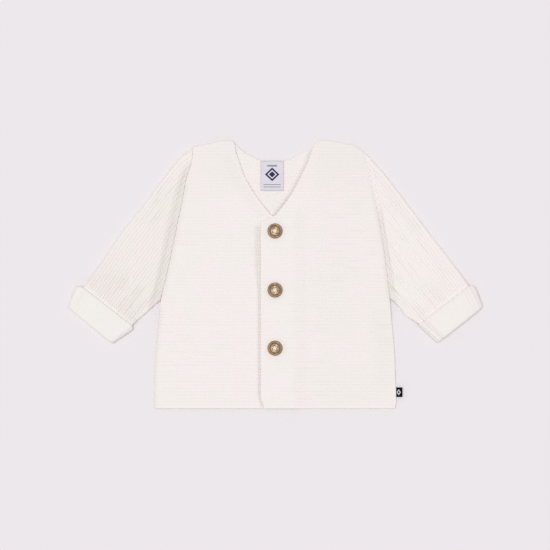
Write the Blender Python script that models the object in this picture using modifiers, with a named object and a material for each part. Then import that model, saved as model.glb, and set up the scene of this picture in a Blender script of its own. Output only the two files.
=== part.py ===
"""A baby's knitted cardigan with three buttons, lying flat and closed on a surface.

Run it with blender --background --python part.py, or from the text editor.

Lengths are in metres, +Z is up, +Y points to the neck, and left and right are the wearer's, so the
left side is at +X. The origin is under the middle of the whole garment, on the surface that it lies
on. One layer of knit is a wall of even thickness. The layers lie on each other: back, right front,
left front, and each sleeve is a flattened tube whose end is turned back over itself as a cuff.
"""

import math
from typing import Callable, NamedTuple

import bmesh
import bpy
import numpy as np

MM = 0.001

# Driving dimensions
WALL = 2.0 * MM  # one layer of knit
GAP = 0.3 * MM  # between pieces that touch
HEM_Y = -134.65 * MM  # the hem's place along Y
UNDERARM_HEIGHT = 104.5 * MM  # above the hem, where the side seam meets the sleeve's underside
BODY_LOFT = 2.7 * MM  # how far the fronts stand off the back where both are slack
RISE_FROM_HEM = 34.0 * MM  # over these distances from its edges the body rises to that loft
RISE_FROM_SHOULDER = 24.0 * MM
RISE_FROM_NECK = 20.0 * MM
RISE_FROM_SIDE = 22.0 * MM
RISE_BELOW_UNDERARM = 24.0 * MM
LAP_SLACK = 0.1 * MM  # extra room between the two fronts, over the usual gap
LAP_CORNER_SLACK = 0.6 * MM  # more of it where the lower front's edge turns up the V
LAP_CORNER_REACH = 28.0 * MM
LAP_WIDTH = 29.0 * MM
LAP_STEP_START = 1.0 * MM  # past the lower front's edge, where the upper one starts to come down
LAP_STEP_WIDTH = 9.0 * MM
LAP_FADE = 50.0 * MM  # up the V edge, until the left front lies on the back as well
PLACKET_HEM_CURVE = 3.0 * MM  # how far the upper front's edge curves away at the hem
PLACKET_HEM_CURVE_HEIGHT = 14.0 * MM
BUTTON_LINE_X = -0.7 * MM
BUTTON_DIAMETER = 15.0 * MM
BUTTON_SIDES = 24
BUTTON_HOLE_DIAMETER = 1.5 * MM
PIN_LENGTH = 10.0 * MM  # of the pins that cut the holes
BUTTON_HOLE_CIRCLE = 4.9 * MM  # diameter of the circle that the four holes lie on
SLEEVE_FOLD_RADIUS = 1.25 * MM  # to the middle of the wall
SLEEVE_LOFT = 3.0 * MM  # how far the sleeve's upper wall stands off the lower one
CUFF_LOFT = 0.8 * MM
LOFT_FROM_UPPER_FOLD = 22.0 * MM  # over these distances from its folds the sleeve rises to its loft
LOFT_FROM_UNDER_FOLD = 14.0 * MM
CUFF_DEPTH = 23.5 * MM
CUFF_EDGE_CHAMFER = 0.5 * MM
ARMHOLE_TUCK = 6.0 * MM  # how far the sleeve's upper wall runs on under the front
ARMHOLE_CLEARANCE = 0.5 * MM  # between the sleeve's end and the body's edge
LABEL_SIZE = (23.3 * MM, 30.0 * MM, 0.5 * MM)
LABEL_ROUNDING = 0.12 * MM
LABEL_CORNER = (-15.2 * MM, 218.0 * MM)  # its right lower corner: X, and height above the hem
TAG_SIZE = (5.2 * MM, 9.6 * MM, 1.0 * MM)
TAG_ROUNDING = 0.3 * MM
TAG_HEIGHT = 16.4 * MM  # of its middle, above the hem
EDGE_ROUNDING = 0.6 * MM
MERGE_DISTANCE = 0.01 * MM
SHARP_ANGLE = 60  # degrees; sharper edges than this are rounded


class ButtonRow(NamedTuple):
    """A button: its height above the hem in mm, and the angle of its first hole, from +X."""

    name: str
    height: float
    turn_degrees: float


class SideRow(NamedTuple):
    """The body's side edges at one height above the hem, in mm out from the middle line."""

    height: float
    right: float
    left: float


class NeckRow(NamedTuple):
    """The V edges of the two fronts at one height above the hem, as X in mm."""

    height: float
    right_front: float
    left_front: float


class EdgeRow(NamedTuple):
    """A point of a top edge: mm out from the middle line, and mm above the hem."""

    out: float
    height: float


class SleeveRow(NamedTuple):
    """One section across a sleeve: its two silhouette points, in mm out and above the hem."""

    name: str
    upper_out: float
    upper_height: float
    under_out: float
    under_height: float


BUTTONS = (
    ButtonRow(name="button_top", height=177.7, turn_degrees=31),
    ButtonRow(name="button_middle", height=118.7, turn_degrees=58),
    ButtonRow(name="button_bottom", height=60.7, turn_degrees=26),
)
BODY_SIDES = (
    SideRow(height=0, right=120.5, left=117.8),
    SideRow(height=1.2, right=120.5, left=119.9),
    SideRow(height=4, right=120.4, left=120.9),
    SideRow(height=14, right=120.0, left=121.6),
    SideRow(height=58, right=117.7, left=119.6),
    SideRow(height=84, right=116.2, left=116.9),
    SideRow(height=109, right=114.5, left=114.1),
    SideRow(height=135, right=108.6, left=111.2),
    SideRow(height=162, right=102.8, left=107.6),
    SideRow(height=193, right=96.5, left=102.4),
    SideRow(height=209, right=93.1, left=99.6),
    SideRow(height=231, right=89.0, left=94.4),
    SideRow(height=248, right=83.9, left=90.6),
    SideRow(height=263, right=82.8, left=88.8),
)
V_EDGES = (
    NeckRow(height=187.5, right_front=13.8, left_front=-15.2),
    NeckRow(height=190, right_front=5.6, left_front=-7.7),
    NeckRow(height=193, right_front=-2.9, left_front=-1.4),
    NeckRow(height=198, right_front=-7.8, left_front=3.0),
    NeckRow(height=205, right_front=-13.5, left_front=8.8),
    NeckRow(height=214.5, right_front=-20.6, left_front=15.4),
    NeckRow(height=225, right_front=-26.8, left_front=21.2),
    NeckRow(height=234, right_front=-31.7, left_front=25.9),
    NeckRow(height=244, right_front=-35.2, left_front=30.8),
    NeckRow(height=254, right_front=-38.8, left_front=34.5),
    NeckRow(height=264.5, right_front=-40.7, left_front=38.1),
)
RIGHT_SHOULDER = (
    EdgeRow(out=40.7, height=265.6),
    EdgeRow(out=44.0, height=268.5),
    EdgeRow(out=49.7, height=268.5),
    EdgeRow(out=58.7, height=267.7),
    EdgeRow(out=72.7, height=264.3),
    EdgeRow(out=82.8, height=262.2),
)
LEFT_SHOULDER = (
    EdgeRow(out=38.1, height=264.2),
    EdgeRow(out=44.0, height=267.2),
    EdgeRow(out=49.8, height=269.3),
    EdgeRow(out=60.0, height=268.4),
    EdgeRow(out=77.6, height=265.5),
    EdgeRow(out=86.3, height=261.1),
    EdgeRow(out=88.9, height=258.6),
)
BACK_NECK = (
    EdgeRow(out=-35.2, height=259.8),
    EdgeRow(out=-30.0, height=255.8),
    EdgeRow(out=-24.9, height=253.2),
    EdgeRow(out=-19.0, height=250.3),
    EdgeRow(out=-14.7, height=248.7),
    EdgeRow(out=8.3, height=248.5),
    EdgeRow(out=12.5, height=249.6),
    EdgeRow(out=21.3, height=251.6),
    EdgeRow(out=28.6, height=254.8),
    EdgeRow(out=34.5, height=258.4),
)
BACK_CORNER_PEEK = (
    EdgeRow(out=122.5, height=0.0),
    EdgeRow(out=123.2, height=8.3),
    EdgeRow(out=120.2, height=10.0),
)
RIGHT_SLEEVE = (
    SleeveRow("fold", 204.0, 102.0, 162.5, 68.4),
    SleeveRow("cuff edge", 191.9, 121.0, 143.4, 84.2),
    SleeveRow("forearm", 171.7, 149.7, 136.5, 90.3),
    SleeveRow("elbow", 151.2, 179.0, 131.0, 95.1),
    SleeveRow("upper arm", 130.1, 205.0, 126.0, 99.5),
    SleeveRow("high", 112.5, 230.5, 120.5, 104.4),
    SleeveRow("cap", 98.0, 249.5, 117.5, 106.5),
    SleeveRow("armhole", 84.3, 255.8, 115.1, 108.3),
)
LEFT_SLEEVE = (
    SleeveRow("fold", 204.2, 102.0, 161.6, 68.5),
    SleeveRow("cuff edge", 192.2, 122.6, 142.5, 86.1),
    SleeveRow("forearm", 176.0, 145.5, 134.5, 90.8),
    SleeveRow("elbow", 157.0, 172.2, 129.0, 94.6),
    SleeveRow("upper arm", 136.3, 202.2, 124.5, 101.2),
    SleeveRow("high", 113.5, 232.3, 119.3, 107.0),
    SleeveRow("cap", 100.5, 247.0, 117.0, 108.3),
    SleeveRow("armhole", 89.5, 258.8, 114.9, 109.5),
)
RIGHT_CUFF = (
    SleeveRow("fold", 207.3, 103.2, 160.8, 67.0),
    SleeveRow("cuff edge", 200.2, 122.7, 142.3, 80.2),
)
LEFT_CUFF = (
    SleeveRow("fold", 207.3, 103.2, 159.8, 67.1),
    SleeveRow("cuff edge", 199.6, 121.4, 140.2, 84.6),
)


class Curve:
    """A smooth curve through points, with the slope at each taken from its neighbours."""

    def __init__(self, at: list[float], points: list[tuple[float, ...]]) -> None:
        self.at = np.array(at, float)
        self.points = np.array(points, float).reshape(len(at), -1)
        self.slopes = np.gradient(self.points, self.at, axis=0)

    def __call__(self, t: float) -> np.ndarray:
        """The point at t. Past either end the curve runs on straight."""
        if t <= self.at[0]:
            return self.points[0] + (t - self.at[0]) * self.slopes[0]
        if t >= self.at[-1]:
            return self.points[-1] + (t - self.at[-1]) * self.slopes[-1]
        i = int(np.searchsorted(self.at, t, side="right")) - 1
        step = self.at[i + 1] - self.at[i]
        s = (t - self.at[i]) / step
        start, end = self.points[i], self.points[i + 1]
        pull_out, pull_in = self.slopes[i] * step, self.slopes[i + 1] * step
        return (
            start * (1 + 2 * s) * (1 - s) ** 2
            + pull_out * s * (1 - s) ** 2
            + end * s * s * (3 - 2 * s)
            + pull_in * s * s * (s - 1)
        )


def ease(distance: float, reach: float) -> float:
    """0 at no distance, 1 from reach on, and smooth between."""
    t = min(max(distance / reach, 0.0), 1.0)
    return t * t * (3 - 2 * t)


def mix(a: float, b: float, share: float) -> float:
    """The value that share of the way from a to b."""
    return a + (b - a) * share


def column(rows: tuple, *names: str) -> list[tuple[float, ...]]:
    """The named columns of a table in millimetres, in metres."""
    return [tuple(getattr(row, name) * MM for name in names) for row in rows]


def heights(rows: tuple) -> list[float]:
    """The height column of a table, in metres."""
    return [row.height * MM for row in rows]


SIDE_OUT = {
    "right": Curve(heights(BODY_SIDES), column(BODY_SIDES, "right")),
    "left": Curve(heights(BODY_SIDES), column(BODY_SIDES, "left")),
}
V_EDGE = {
    "right": Curve(heights(V_EDGES), column(V_EDGES, "right_front")),
    "left": Curve(heights(V_EDGES), column(V_EDGES, "left_front")),
}
SHOULDER = {"right": RIGHT_SHOULDER, "left": LEFT_SHOULDER}
SIGN = {"right": -1.0, "left": 1.0}
V_TIP_HEIGHT = 193.0 * MM
V_CORNER_HEIGHT = V_EDGES[0].height * MM
BELOW_TIP_PACE = 1.6
LAP_LIFT = WALL + GAP + LAP_SLACK
FRONT_BASE = WALL + GAP  # the fronts' underside where they lie on the back


def shoulder_height(side: str, out: float) -> float:
    """The height above the hem of the shoulder line, at a distance out from the middle."""
    rows = SHOULDER[side]
    return float(np.interp(out, [row.out * MM for row in rows], heights(rows)))


def neck_distance(x: float, height: float) -> float:
    """How far a point of a front lies from the V opening; below the V's tip it counts faster."""
    level = max(height, V_TIP_HEIGHT)
    beside = max(V_EDGE["right"](level)[0] - x, x - V_EDGE["left"](level)[0], 0.0)
    below = BELOW_TIP_PACE * max(V_TIP_HEIGHT - height, 0.0)
    return math.hypot(beside, below)


def body_rise(x: float, height: float) -> float:
    """How far the fronts stand above where they would lie flat on the back.

    It falls to nothing at the hem, the shoulders, the V edges and the side seams, but not at the
    armholes, where the fronts' edges lie over the sleeves.
    """
    side = "left" if x > 0 else "right"
    to_hem = ease(height, RISE_FROM_HEM)
    to_shoulder = ease(shoulder_height(side, abs(x)) - height, RISE_FROM_SHOULDER)
    to_neck = ease(neck_distance(x, height), RISE_FROM_NECK)
    to_side = ease(SIDE_OUT[side](height)[0] - abs(x), RISE_FROM_SIDE)
    below_underarm = ease(UNDERARM_HEIGHT - height, RISE_BELOW_UNDERARM)
    return BODY_LOFT * to_hem * to_shoulder * to_neck * mix(1.0, to_side, below_underarm)


def lap_lift(x: float, height: float) -> float:
    """How far the left front is lifted by the right front under it. It fades out up the V edge."""
    under_panel_edge = BUTTON_LINE_X + LAP_WIDTH / 2
    past_edge = ease(x - under_panel_edge - LAP_STEP_START, LAP_STEP_WIDTH)
    up_the_neck = ease(height - V_TIP_HEIGHT, LAP_FADE)
    from_corner = math.hypot(x - under_panel_edge, height - V_CORNER_HEIGHT)
    lift = LAP_LIFT + LAP_CORNER_SLACK * (1 - ease(from_corner, LAP_CORNER_REACH))
    return lift * (1 - past_edge) * (1 - up_the_neck)


def right_front_underside(x: float, height: float) -> float:
    """Height of the right front's underside above the surface."""
    return FRONT_BASE + body_rise(x, height)


def left_front_underside(x: float, height: float) -> float:
    """Height of the left front's underside above the surface."""
    return FRONT_BASE + body_rise(x, height) + lap_lift(x, height)


def placket_edge(side: str, height: float) -> float:
    """X of a front's edge below the V: straight, but the upper front's curves away at the hem."""
    if side == "right":
        return BUTTON_LINE_X + LAP_WIDTH / 2
    hem_curve = PLACKET_HEM_CURVE * (1 - ease(height, PLACKET_HEM_CURVE_HEIGHT))
    return BUTTON_LINE_X - LAP_WIDTH / 2 + hem_curve


def front_edge(side: str, height: float) -> float:
    """X of a front's free edge: the placket below the V, and the V edge above."""
    if height <= V_CORNER_HEIGHT:
        return placket_edge(side, height)
    return float(V_EDGE[side](min(height, V_EDGES[-1].height * MM))[0])


# Where the columns of a front's grid run, from its free edge: they are close together over the
# step where the upper front comes down off the lower one, and evenly spread beyond it.
STEP_COLUMNS = tuple(mm * MM for mm in (0, 8, 16, 23.5, 30.5, 34.5, 40))
EVEN_COLUMNS = 6
HEM_ROWS = (0.0, 1.2 * MM, 4 * MM)  # heights of the rows that round the hem
LOW_ROWS = 14  # from the top of the placket's hem curve to the V's corner
HIGH_ROWS = 9  # from there to the shoulder
ROW_CROWDING = 1.3  # over 1, rows lie closer together near the V's corner, where its edge turns


def front_columns(side: str, width: float, full_width: float) -> list[float]:
    """Distances from the free edge of a front's columns, in a row of that width."""
    near = [offset * width / full_width for offset in STEP_COLUMNS]
    far = [mix(near[-1], width, i / EVEN_COLUMNS) for i in range(1, EVEN_COLUMNS + 1)]
    return near + far


def front_rows(side: str) -> list[list[tuple[float, float]]]:
    """The grid of a front, row by row from the hem: (X, height above the hem) of each point."""
    sign = SIGN[side]
    rows = []
    climbs = [1 - (1 - i / LOW_ROWS) ** ROW_CROWDING for i in range(LOW_ROWS + 1)]
    low_heights = [mix(PLACKET_HEM_CURVE_HEIGHT, V_CORNER_HEIGHT, climb) for climb in climbs]
    for height in HEM_ROWS + tuple(low_heights):
        edge = front_edge(side, height)
        width = abs(sign * SIDE_OUT[side](height)[0] - edge)
        rows.append([(edge + sign * d, height) for d in front_columns(side, width, width)])
    tip_width = abs(sign * SIDE_OUT[side](V_CORNER_HEIGHT)[0] - front_edge(side, V_CORNER_HEIGHT))
    tip_offsets = front_columns(side, tip_width, tip_width)
    shares = [offset / tip_width for offset in tip_offsets]
    ends = SHOULDER[side]
    for j in range(1, HIGH_ROWS + 1):
        climb = (j / HIGH_ROWS) ** ROW_CROWDING
        row = []
        for share in shares:
            top_out = mix(ends[0].out, ends[-1].out, share) * MM
            height = mix(V_CORNER_HEIGHT, shoulder_height(side, top_out), climb)
            edge = front_edge(side, height)
            outer = sign * SIDE_OUT[side](min(height, heights(ends)[-1]))[0]
            row.append((mix(edge, outer, share), height))
        rows.append(row)
    return rows


def add_object(name: str, data: bpy.types.ID) -> bpy.types.Object:
    """A new object of that data in the garment's collection."""
    obj = bpy.data.objects.new(name, data)
    GARMENT.objects.link(obj)
    return obj


def add_mesh(name: str, points: list, faces: list) -> bpy.types.Object:
    """A new mesh object, shaded smooth."""
    mesh = bpy.data.meshes.new(name)
    mesh.from_pydata([tuple(map(float, p)) for p in points], [], faces)
    mesh.shade_smooth()
    return add_object(name, mesh)


def round_edges(obj: bpy.types.Object, width: float = EDGE_ROUNDING) -> None:
    """A Bevel on the sharp edges alone."""
    bevel = obj.modifiers.new("rounded edges", "BEVEL")
    bevel.width = width
    bevel.segments = 2
    bevel.limit_method = "ANGLE"
    bevel.angle_limit = math.radians(SHARP_ANGLE)


def build_front(name: str, side: str, underside: Callable[[float, float], float]) -> bpy.types.Object:
    """A front panel: an open surface along its underside, thickened upwards."""
    rows = front_rows(side)
    points = [(x, HEM_Y + height, underside(x, height)) for row in rows for x, height in row]
    count = len(rows[0])
    faces = []
    for j in range(len(rows) - 1):
        for i in range(count - 1):
            corner = j * count + i
            face = [corner, corner + 1, corner + count + 1, corner + count]
            faces.append(face if side == "left" else face[::-1])
    panel = add_mesh(name, points, faces)
    solidify = panel.modifiers.new("knit", "SOLIDIFY")
    solidify.thickness = WALL
    solidify.offset = 1.0
    solidify.use_even_offset = True
    round_edges(panel)
    return panel


def back_outline() -> list[tuple[float, float]]:
    """The back panel's outline, anticlockwise from the hem's right corner."""
    side_heights = [1.2, 4, 10, 34, 58, 84, 109, 122, 135, 149, 162, 178, 193, 209, 220, 231, 240, 248, 256]
    left_top = LEFT_SHOULDER[-1].height * MM
    points = [(-BACK_CORNER_PEEK[0].out * MM, 0.0)]
    points += [(SIDE_OUT["left"](0.0)[0], 0.0)]
    points += [(SIDE_OUT["left"](h * MM)[0], h * MM) for h in side_heights if h * MM < left_top]
    points += [(row.out * MM, row.height * MM) for row in reversed(LEFT_SHOULDER)]
    points += [(row.out * MM, row.height * MM) for row in reversed(BACK_NECK)]
    points += [(-row.out * MM, row.height * MM) for row in RIGHT_SHOULDER]
    points += [(-SIDE_OUT["right"](h * MM)[0], h * MM) for h in reversed(side_heights[3:])]
    points += [(-row.out * MM, row.height * MM) for row in reversed(BACK_CORNER_PEEK[1:])]
    return points


def build_back(name: str) -> bpy.types.Object:
    """The back panel: a flat filled outline, one layer thick, lying on the surface."""
    curve = bpy.data.curves.new(name, "CURVE")
    curve.dimensions = "2D"
    curve.fill_mode = "BOTH"
    curve.extrude = WALL / 2
    outline = back_outline()
    spline = curve.splines.new("POLY")
    spline.points.add(len(outline) - 1)
    for point, (x, height) in zip(spline.points, outline):
        point.co = (x, HEM_Y + height, 0.0, 1.0)
    spline.use_cyclic_u = True
    panel = add_object(name, curve)
    panel.location.z = WALL / 2
    weld = panel.modifiers.new("closed", "WELD")
    weld.merge_threshold = MERGE_DISTANCE
    round_edges(panel)
    return panel


class Spot(NamedTuple):
    """A place round a flattened tube.

    share is 0 at its upper fold and 1 at its under fold. turn is the angle round a fold, from -90
    degrees on the lower wall to 90 on the upper one.
    """

    share: float
    turn: float


UPPER_WALL_SHARES = (0.1, 0.22, 0.35, 0.48, 0.61, 0.73, 0.83, 0.905, 0.955)
LOWER_WALL_PARTS = 7
FOLD_TURNS = (-90, -45, 0, 45, 90)


class Stretch(NamedTuple):
    """A stretch over which something changes: where it starts, and how long it is."""

    start: float
    length: float

    def share(self, at: float) -> float:
        """0 before the stretch, 1 past it, and smooth between."""
        return ease(at - self.start, self.length)


# Along a sleeve, counted in stations, from the fold at the wrist to the armhole.
ARMHOLE_BEND = Stretch(4, 3)  # its sections turn from straight ones to the armhole's line
CUFF_TO_LOFT = Stretch(1.05, 0.9)  # it fills out above the cuff
CUFF_TO_FLOOR = Stretch(1.1, 0.75)  # it comes down off the cuff's lower layer
# Across it, as a share of its width from the upper fold.
PLEAT_STEP = Stretch(0.905, 0.05)  # a pleated cuff steps down beside its under fold
TUCK_BELOW_SHOULDER = Stretch(0.18, 0.17)
TUCK_ABOVE_UNDERARM = Stretch(0.82, 0.12)


def ring_spots() -> list[Spot]:
    """The places round a sleeve: up its upper fold, across, down the under fold and back."""
    upper_fold = [Spot(0.0, turn) for turn in FOLD_TURNS]
    across = [Spot(share, 90) for share in UPPER_WALL_SHARES]
    under_fold = [Spot(1.0, turn) for turn in reversed(FOLD_TURNS)]
    back = [Spot(1 - i / LOWER_WALL_PARTS, -90) for i in range(1, LOWER_WALL_PARTS)]
    return upper_fold + across + under_fold + back


class Sleeve:
    """The shape that a sleeve and its cuff share: any point of either comes from point()."""

    def __init__(self, side: str, rows: tuple, cuff: tuple, valley: tuple, pleat: float) -> None:
        self.side = side
        self.last = len(rows) - 1
        stations = list(range(len(rows)))
        self.upper = Curve(stations, column(rows, "upper_out", "upper_height"))
        self.under = Curve(stations, column(rows, "under_out", "under_height"))
        self.cuff_upper = Curve([0, 1], column(cuff, "upper_out", "upper_height"))
        self.cuff_under = Curve([0, 1], column(cuff, "under_out", "under_height"))
        self.valley = valley
        self.pleat = pleat

    def armhole(self, share: float) -> np.ndarray:
        """The armhole seam, from the shoulder to the underarm, just clear of the body's edge."""
        height = mix(self.upper(self.last)[1], self.under(self.last)[1], share)
        return np.array([SIDE_OUT[self.side](height)[0] + ARMHOLE_CLEARANCE, height])

    def across(self, share: float, station: float) -> np.ndarray:
        """A point of the sleeve's plan, (out, height), between its two silhouettes."""
        straight = mix(self.upper(station), self.under(station), share)
        end = mix(self.upper(self.last), self.under(self.last), share)
        return straight + (self.armhole(share) - end) * ARMHOLE_BEND.share(station)

    def loft(self, share: float, station: float) -> float:
        """How far the upper wall stands off the lower one: most in the middle of the arm."""
        here = self.across(share, station)
        from_armhole = float(np.linalg.norm(here - self.armhole(share)))
        from_upper_fold = float(np.linalg.norm(here - self.across(0.0, station)))
        from_under_fold = float(np.linalg.norm(here - self.across(1.0, station)))
        crown = ease(from_upper_fold, LOFT_FROM_UPPER_FOLD)
        crown *= ease(from_under_fold, LOFT_FROM_UNDER_FOLD)
        valley = ease(from_armhole, mix(self.valley[0], self.valley[1], share))
        past_cuff = CUFF_TO_LOFT.share(station)
        pleat = self.pleat * (1 - PLEAT_STEP.share(share)) * (1 - past_cuff)
        return crown * valley * mix(CUFF_LOFT, SLEEVE_LOFT, past_cuff) + pleat

    def middle_height(self, station: float) -> float:
        """Height of the tube's middle: it is lifted where the cuff runs under it."""
        lift = (WALL + GAP) * (1 - CUFF_TO_FLOOR.share(station))
        return SLEEVE_FOLD_RADIUS + WALL / 2 + lift

    def point(self, spot: Spot, station: float, out: float) -> tuple[float, float, float]:
        """A point that lies that far out of the middle of the sleeve's wall."""
        upper, under = self.across(0.0, station), self.across(1.0, station)
        width = float(np.linalg.norm(under - upper))
        turn = math.radians(spot.turn)
        inset = SLEEVE_FOLD_RADIUS + WALL / 2
        half = SLEEVE_FOLD_RADIUS + out
        depth = inset + spot.share * (width - 2 * inset)
        depth -= (1 - 2 * spot.share) * half * math.cos(turn)
        beyond = max(-depth, depth - width, 0.0) / (WALL + GAP)
        plan = self.across(min(max(depth / width, 0.0), 1.0), station)
        if depth < 0:
            plan = plan + (self.cuff_upper(station) - upper) * beyond
        if depth > width:
            plan = plan + (self.cuff_under(station) - under) * beyond
        z = self.middle_height(station) + half * math.sin(turn)
        if spot.turn > 0:
            z += math.sin(turn) * self.loft(spot.share, station)
        return SIGN[self.side] * plan[0], HEM_Y + plan[1], z

    def end_point(self, spot: Spot, reach: float, out: float) -> tuple[float, float, float]:
        """A point near the armhole seam. A positive reach tucks the upper wall under the front."""
        x, y, z = self.point(spot, self.last, out)
        if spot.turn == 90:
            reach = mix(min(reach, 0.0), reach, self.tuck_share(spot.share))
        else:
            reach = min(reach, 0.0)
        return x - SIGN[self.side] * reach, y, z

    def tuck_share(self, share: float) -> float:
        """1 where the upper wall is tucked in fully, and 0 near the shoulder and the underarm."""
        return TUCK_BELOW_SHOULDER.share(share) * (1 - TUCK_ABOVE_UNDERARM.share(share))


def loop_of_rings(name: str, rings: list, inside_out: bool) -> bpy.types.Object:
    """A closed solid whose rings follow each other round, the last one joining the first."""
    count = len(rings[0])
    faces = []
    for j in range(len(rings)):
        here, after = j * count, (j + 1) % len(rings) * count
        for i in range(count):
            beside = (i + 1) % count
            face = [here + i, here + beside, after + beside, after + i]
            faces.append(face[::-1] if inside_out else face)
    return add_mesh(name, [point for ring in rings for point in ring], faces)


SLEEVE_STATIONS = (GAP / CUFF_DEPTH, 0.5, 1.0, 1.15, 1.5, 1.85, 2.4, 3.0, 3.6, 4.2, 4.8, 5.3, 5.8, 6.2, 6.6)
SEAM_REACHES = (-1.6 * MM, ARMHOLE_TUCK)  # of the last two rings, past the armhole's line


def build_sleeve(name: str, sleeve: Sleeve) -> bpy.types.Object:
    """A sleeve from its end inside the cuff to the armhole: outer wall up, inner wall back."""
    spots = ring_spots()
    walls = []
    for out in (WALL / 2, -WALL / 2):
        rings = [[sleeve.point(spot, at, out) for spot in spots] for at in SLEEVE_STATIONS]
        for reach in SEAM_REACHES:
            rings.append([sleeve.end_point(spot, reach, out) for spot in spots])
        walls.append(rings)
    return loop_of_rings(name, walls[0] + walls[1][::-1], sleeve.side == "left")


def cuff_profile() -> list[tuple[float, float]]:
    """The cuff's section along the arm: (distance from the fold, distance out of the sleeve).

    It starts inside the free edge, runs round it, along the outside to the fold, round the fold
    into the sleeve's own layer, and back along the inside.
    """
    inner, outer = WALL / 2 + GAP, WALL * 1.5 + GAP
    roll_middle = (WALL + GAP) / 2
    roll_outer = outer - roll_middle
    edge = [
        (CUFF_DEPTH - CUFF_EDGE_CHAMFER, inner),
        (CUFF_DEPTH, inner + CUFF_EDGE_CHAMFER),
        (CUFF_DEPTH, outer - CUFF_EDGE_CHAMFER),
        (CUFF_DEPTH - CUFF_EDGE_CHAMFER, outer),
    ]
    outside = [(CUFF_DEPTH / 2, outer), (0.0, outer)]
    roll = []
    for degrees in (45, 0, -45, -90):
        turn = math.radians(degrees)
        roll.append((-roll_outer * math.cos(turn), roll_middle + roll_outer * math.sin(turn)))
    inside = [(0.0, WALL / 2), (-GAP / 2, roll_middle), (0.0, inner), (CUFF_DEPTH / 2, inner)]
    return edge + outside + roll + inside


def build_cuff(name: str, sleeve: Sleeve) -> bpy.types.Object:
    """The turned-back end of a sleeve, with its roll at the wrist."""
    spots = ring_spots()
    rings = []
    for along, out in cuff_profile():
        rings.append([sleeve.point(spot, along / CUFF_DEPTH, out) for spot in spots])
    return loop_of_rings(name, rings, sleeve.side == "right")


def button_profile() -> list[tuple[float, float]]:
    """Half the button's section, (radius, height), from the middle of its top to its underside."""
    radius = BUTTON_DIAMETER / 2
    return [
        (0.0, 1.9 * MM),
        (radius - 3.2 * MM, 2.0 * MM),
        (radius - 2.2 * MM, 2.9 * MM),
        (radius - 0.9 * MM, 3.3 * MM),
        (radius - 0.15 * MM, 2.6 * MM),
        (radius, 1.7 * MM),
        (radius - 0.7 * MM, 0.5 * MM),
        (radius - 2.2 * MM, 0.0),
        (0.0, 0.0),
    ]


def highest_under(x: float, height: float) -> float:
    """The highest point of the left front's top under a button."""
    radius = BUTTON_DIAMETER / 2
    tops = [left_front_underside(x, height)]
    for degrees in range(0, 360, 45):
        turn = math.radians(degrees)
        tops.append(left_front_underside(x + radius * math.cos(turn), height + radius * math.sin(turn)))
    return max(tops) + WALL


def build_button_cutter(name: str) -> bpy.types.Object:
    """Four pins, the size of a button's thread holes."""
    mesh = bpy.data.meshes.new(name)
    pins = bmesh.new()
    for quarter in range(4):
        made = bmesh.ops.create_cone(
            pins,
            cap_ends=True,
            segments=8,
            radius1=BUTTON_HOLE_DIAMETER / 2,
            radius2=BUTTON_HOLE_DIAMETER / 2,
            depth=PIN_LENGTH,
        )
        turn = math.radians(90 * quarter)
        offset = (math.cos(turn) * BUTTON_HOLE_CIRCLE / 2, math.sin(turn) * BUTTON_HOLE_CIRCLE / 2, 0.0)
        bmesh.ops.translate(pins, verts=made["verts"], vec=offset)
    pins.to_mesh(mesh)
    pins.free()
    cutter = bpy.data.objects.new(name, mesh)
    CUTTERS.objects.link(cutter)
    cutter.hide_render = True
    cutter.display_type = "WIRE"
    return cutter


def build_button(row: ButtonRow) -> bpy.types.Object:
    """A turned four-hole button, lying on the left front."""
    height = row.height * MM
    profile = button_profile()
    mesh = bpy.data.meshes.new(row.name)
    edges = [(i, i + 1) for i in range(len(profile) - 1)]
    mesh.from_pydata([(r, 0.0, z) for r, z in profile], edges, [])
    button = add_object(row.name, mesh)
    screw = button.modifiers.new("turned", "SCREW")
    screw.axis = "Z"
    screw.steps = BUTTON_SIDES
    screw.render_steps = BUTTON_SIDES
    screw.use_merge_vertices = True
    screw.merge_threshold = MERGE_DISTANCE
    screw.use_smooth_shade = True
    cut = button.modifiers.new("thread holes", "BOOLEAN")
    cut.operation = "DIFFERENCE"
    cutter = build_button_cutter(row.name + "_holes")
    cut.object = cutter
    button.location = (
        BUTTON_LINE_X,
        HEM_Y + height,
        highest_under(BUTTON_LINE_X, height) + GAP,
    )
    cutter.location = button.location
    button.rotation_euler.z = math.radians(row.turn_degrees)
    cutter.rotation_euler.z = button.rotation_euler.z
    return button


def build_slab(name: str, size: tuple, centre: tuple, rounding: float) -> bpy.types.Object:
    """A thin flat piece with rounded edges."""
    mesh = bpy.data.meshes.new(name)
    shape = bmesh.new()
    bmesh.ops.create_cube(shape, size=1.0)
    bmesh.ops.scale(shape, vec=size, verts=shape.verts)
    shape.to_mesh(mesh)
    shape.free()
    slab = add_object(name, mesh)
    slab.location = centre
    round_edges(slab, rounding)
    return slab


def build_label(name: str) -> bpy.types.Object:
    """The woven label on the inside of the back, under the neck edge."""
    width, length, thickness = LABEL_SIZE
    x, height = LABEL_CORNER
    centre = (x + width / 2, HEM_Y + height + length / 2, WALL + GAP + thickness / 2)
    return build_slab(name, LABEL_SIZE, centre, LABEL_ROUNDING)


def build_tag(name: str) -> bpy.types.Object:
    """The folded tag that stands out of the left side seam, between back and front."""
    start = SIDE_OUT["left"](TAG_HEIGHT)[0] + GAP
    centre = (start + TAG_SIZE[0] / 2, HEM_Y + TAG_HEIGHT, WALL + GAP / 2)
    return build_slab(name, TAG_SIZE, centre, TAG_ROUNDING)


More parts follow.
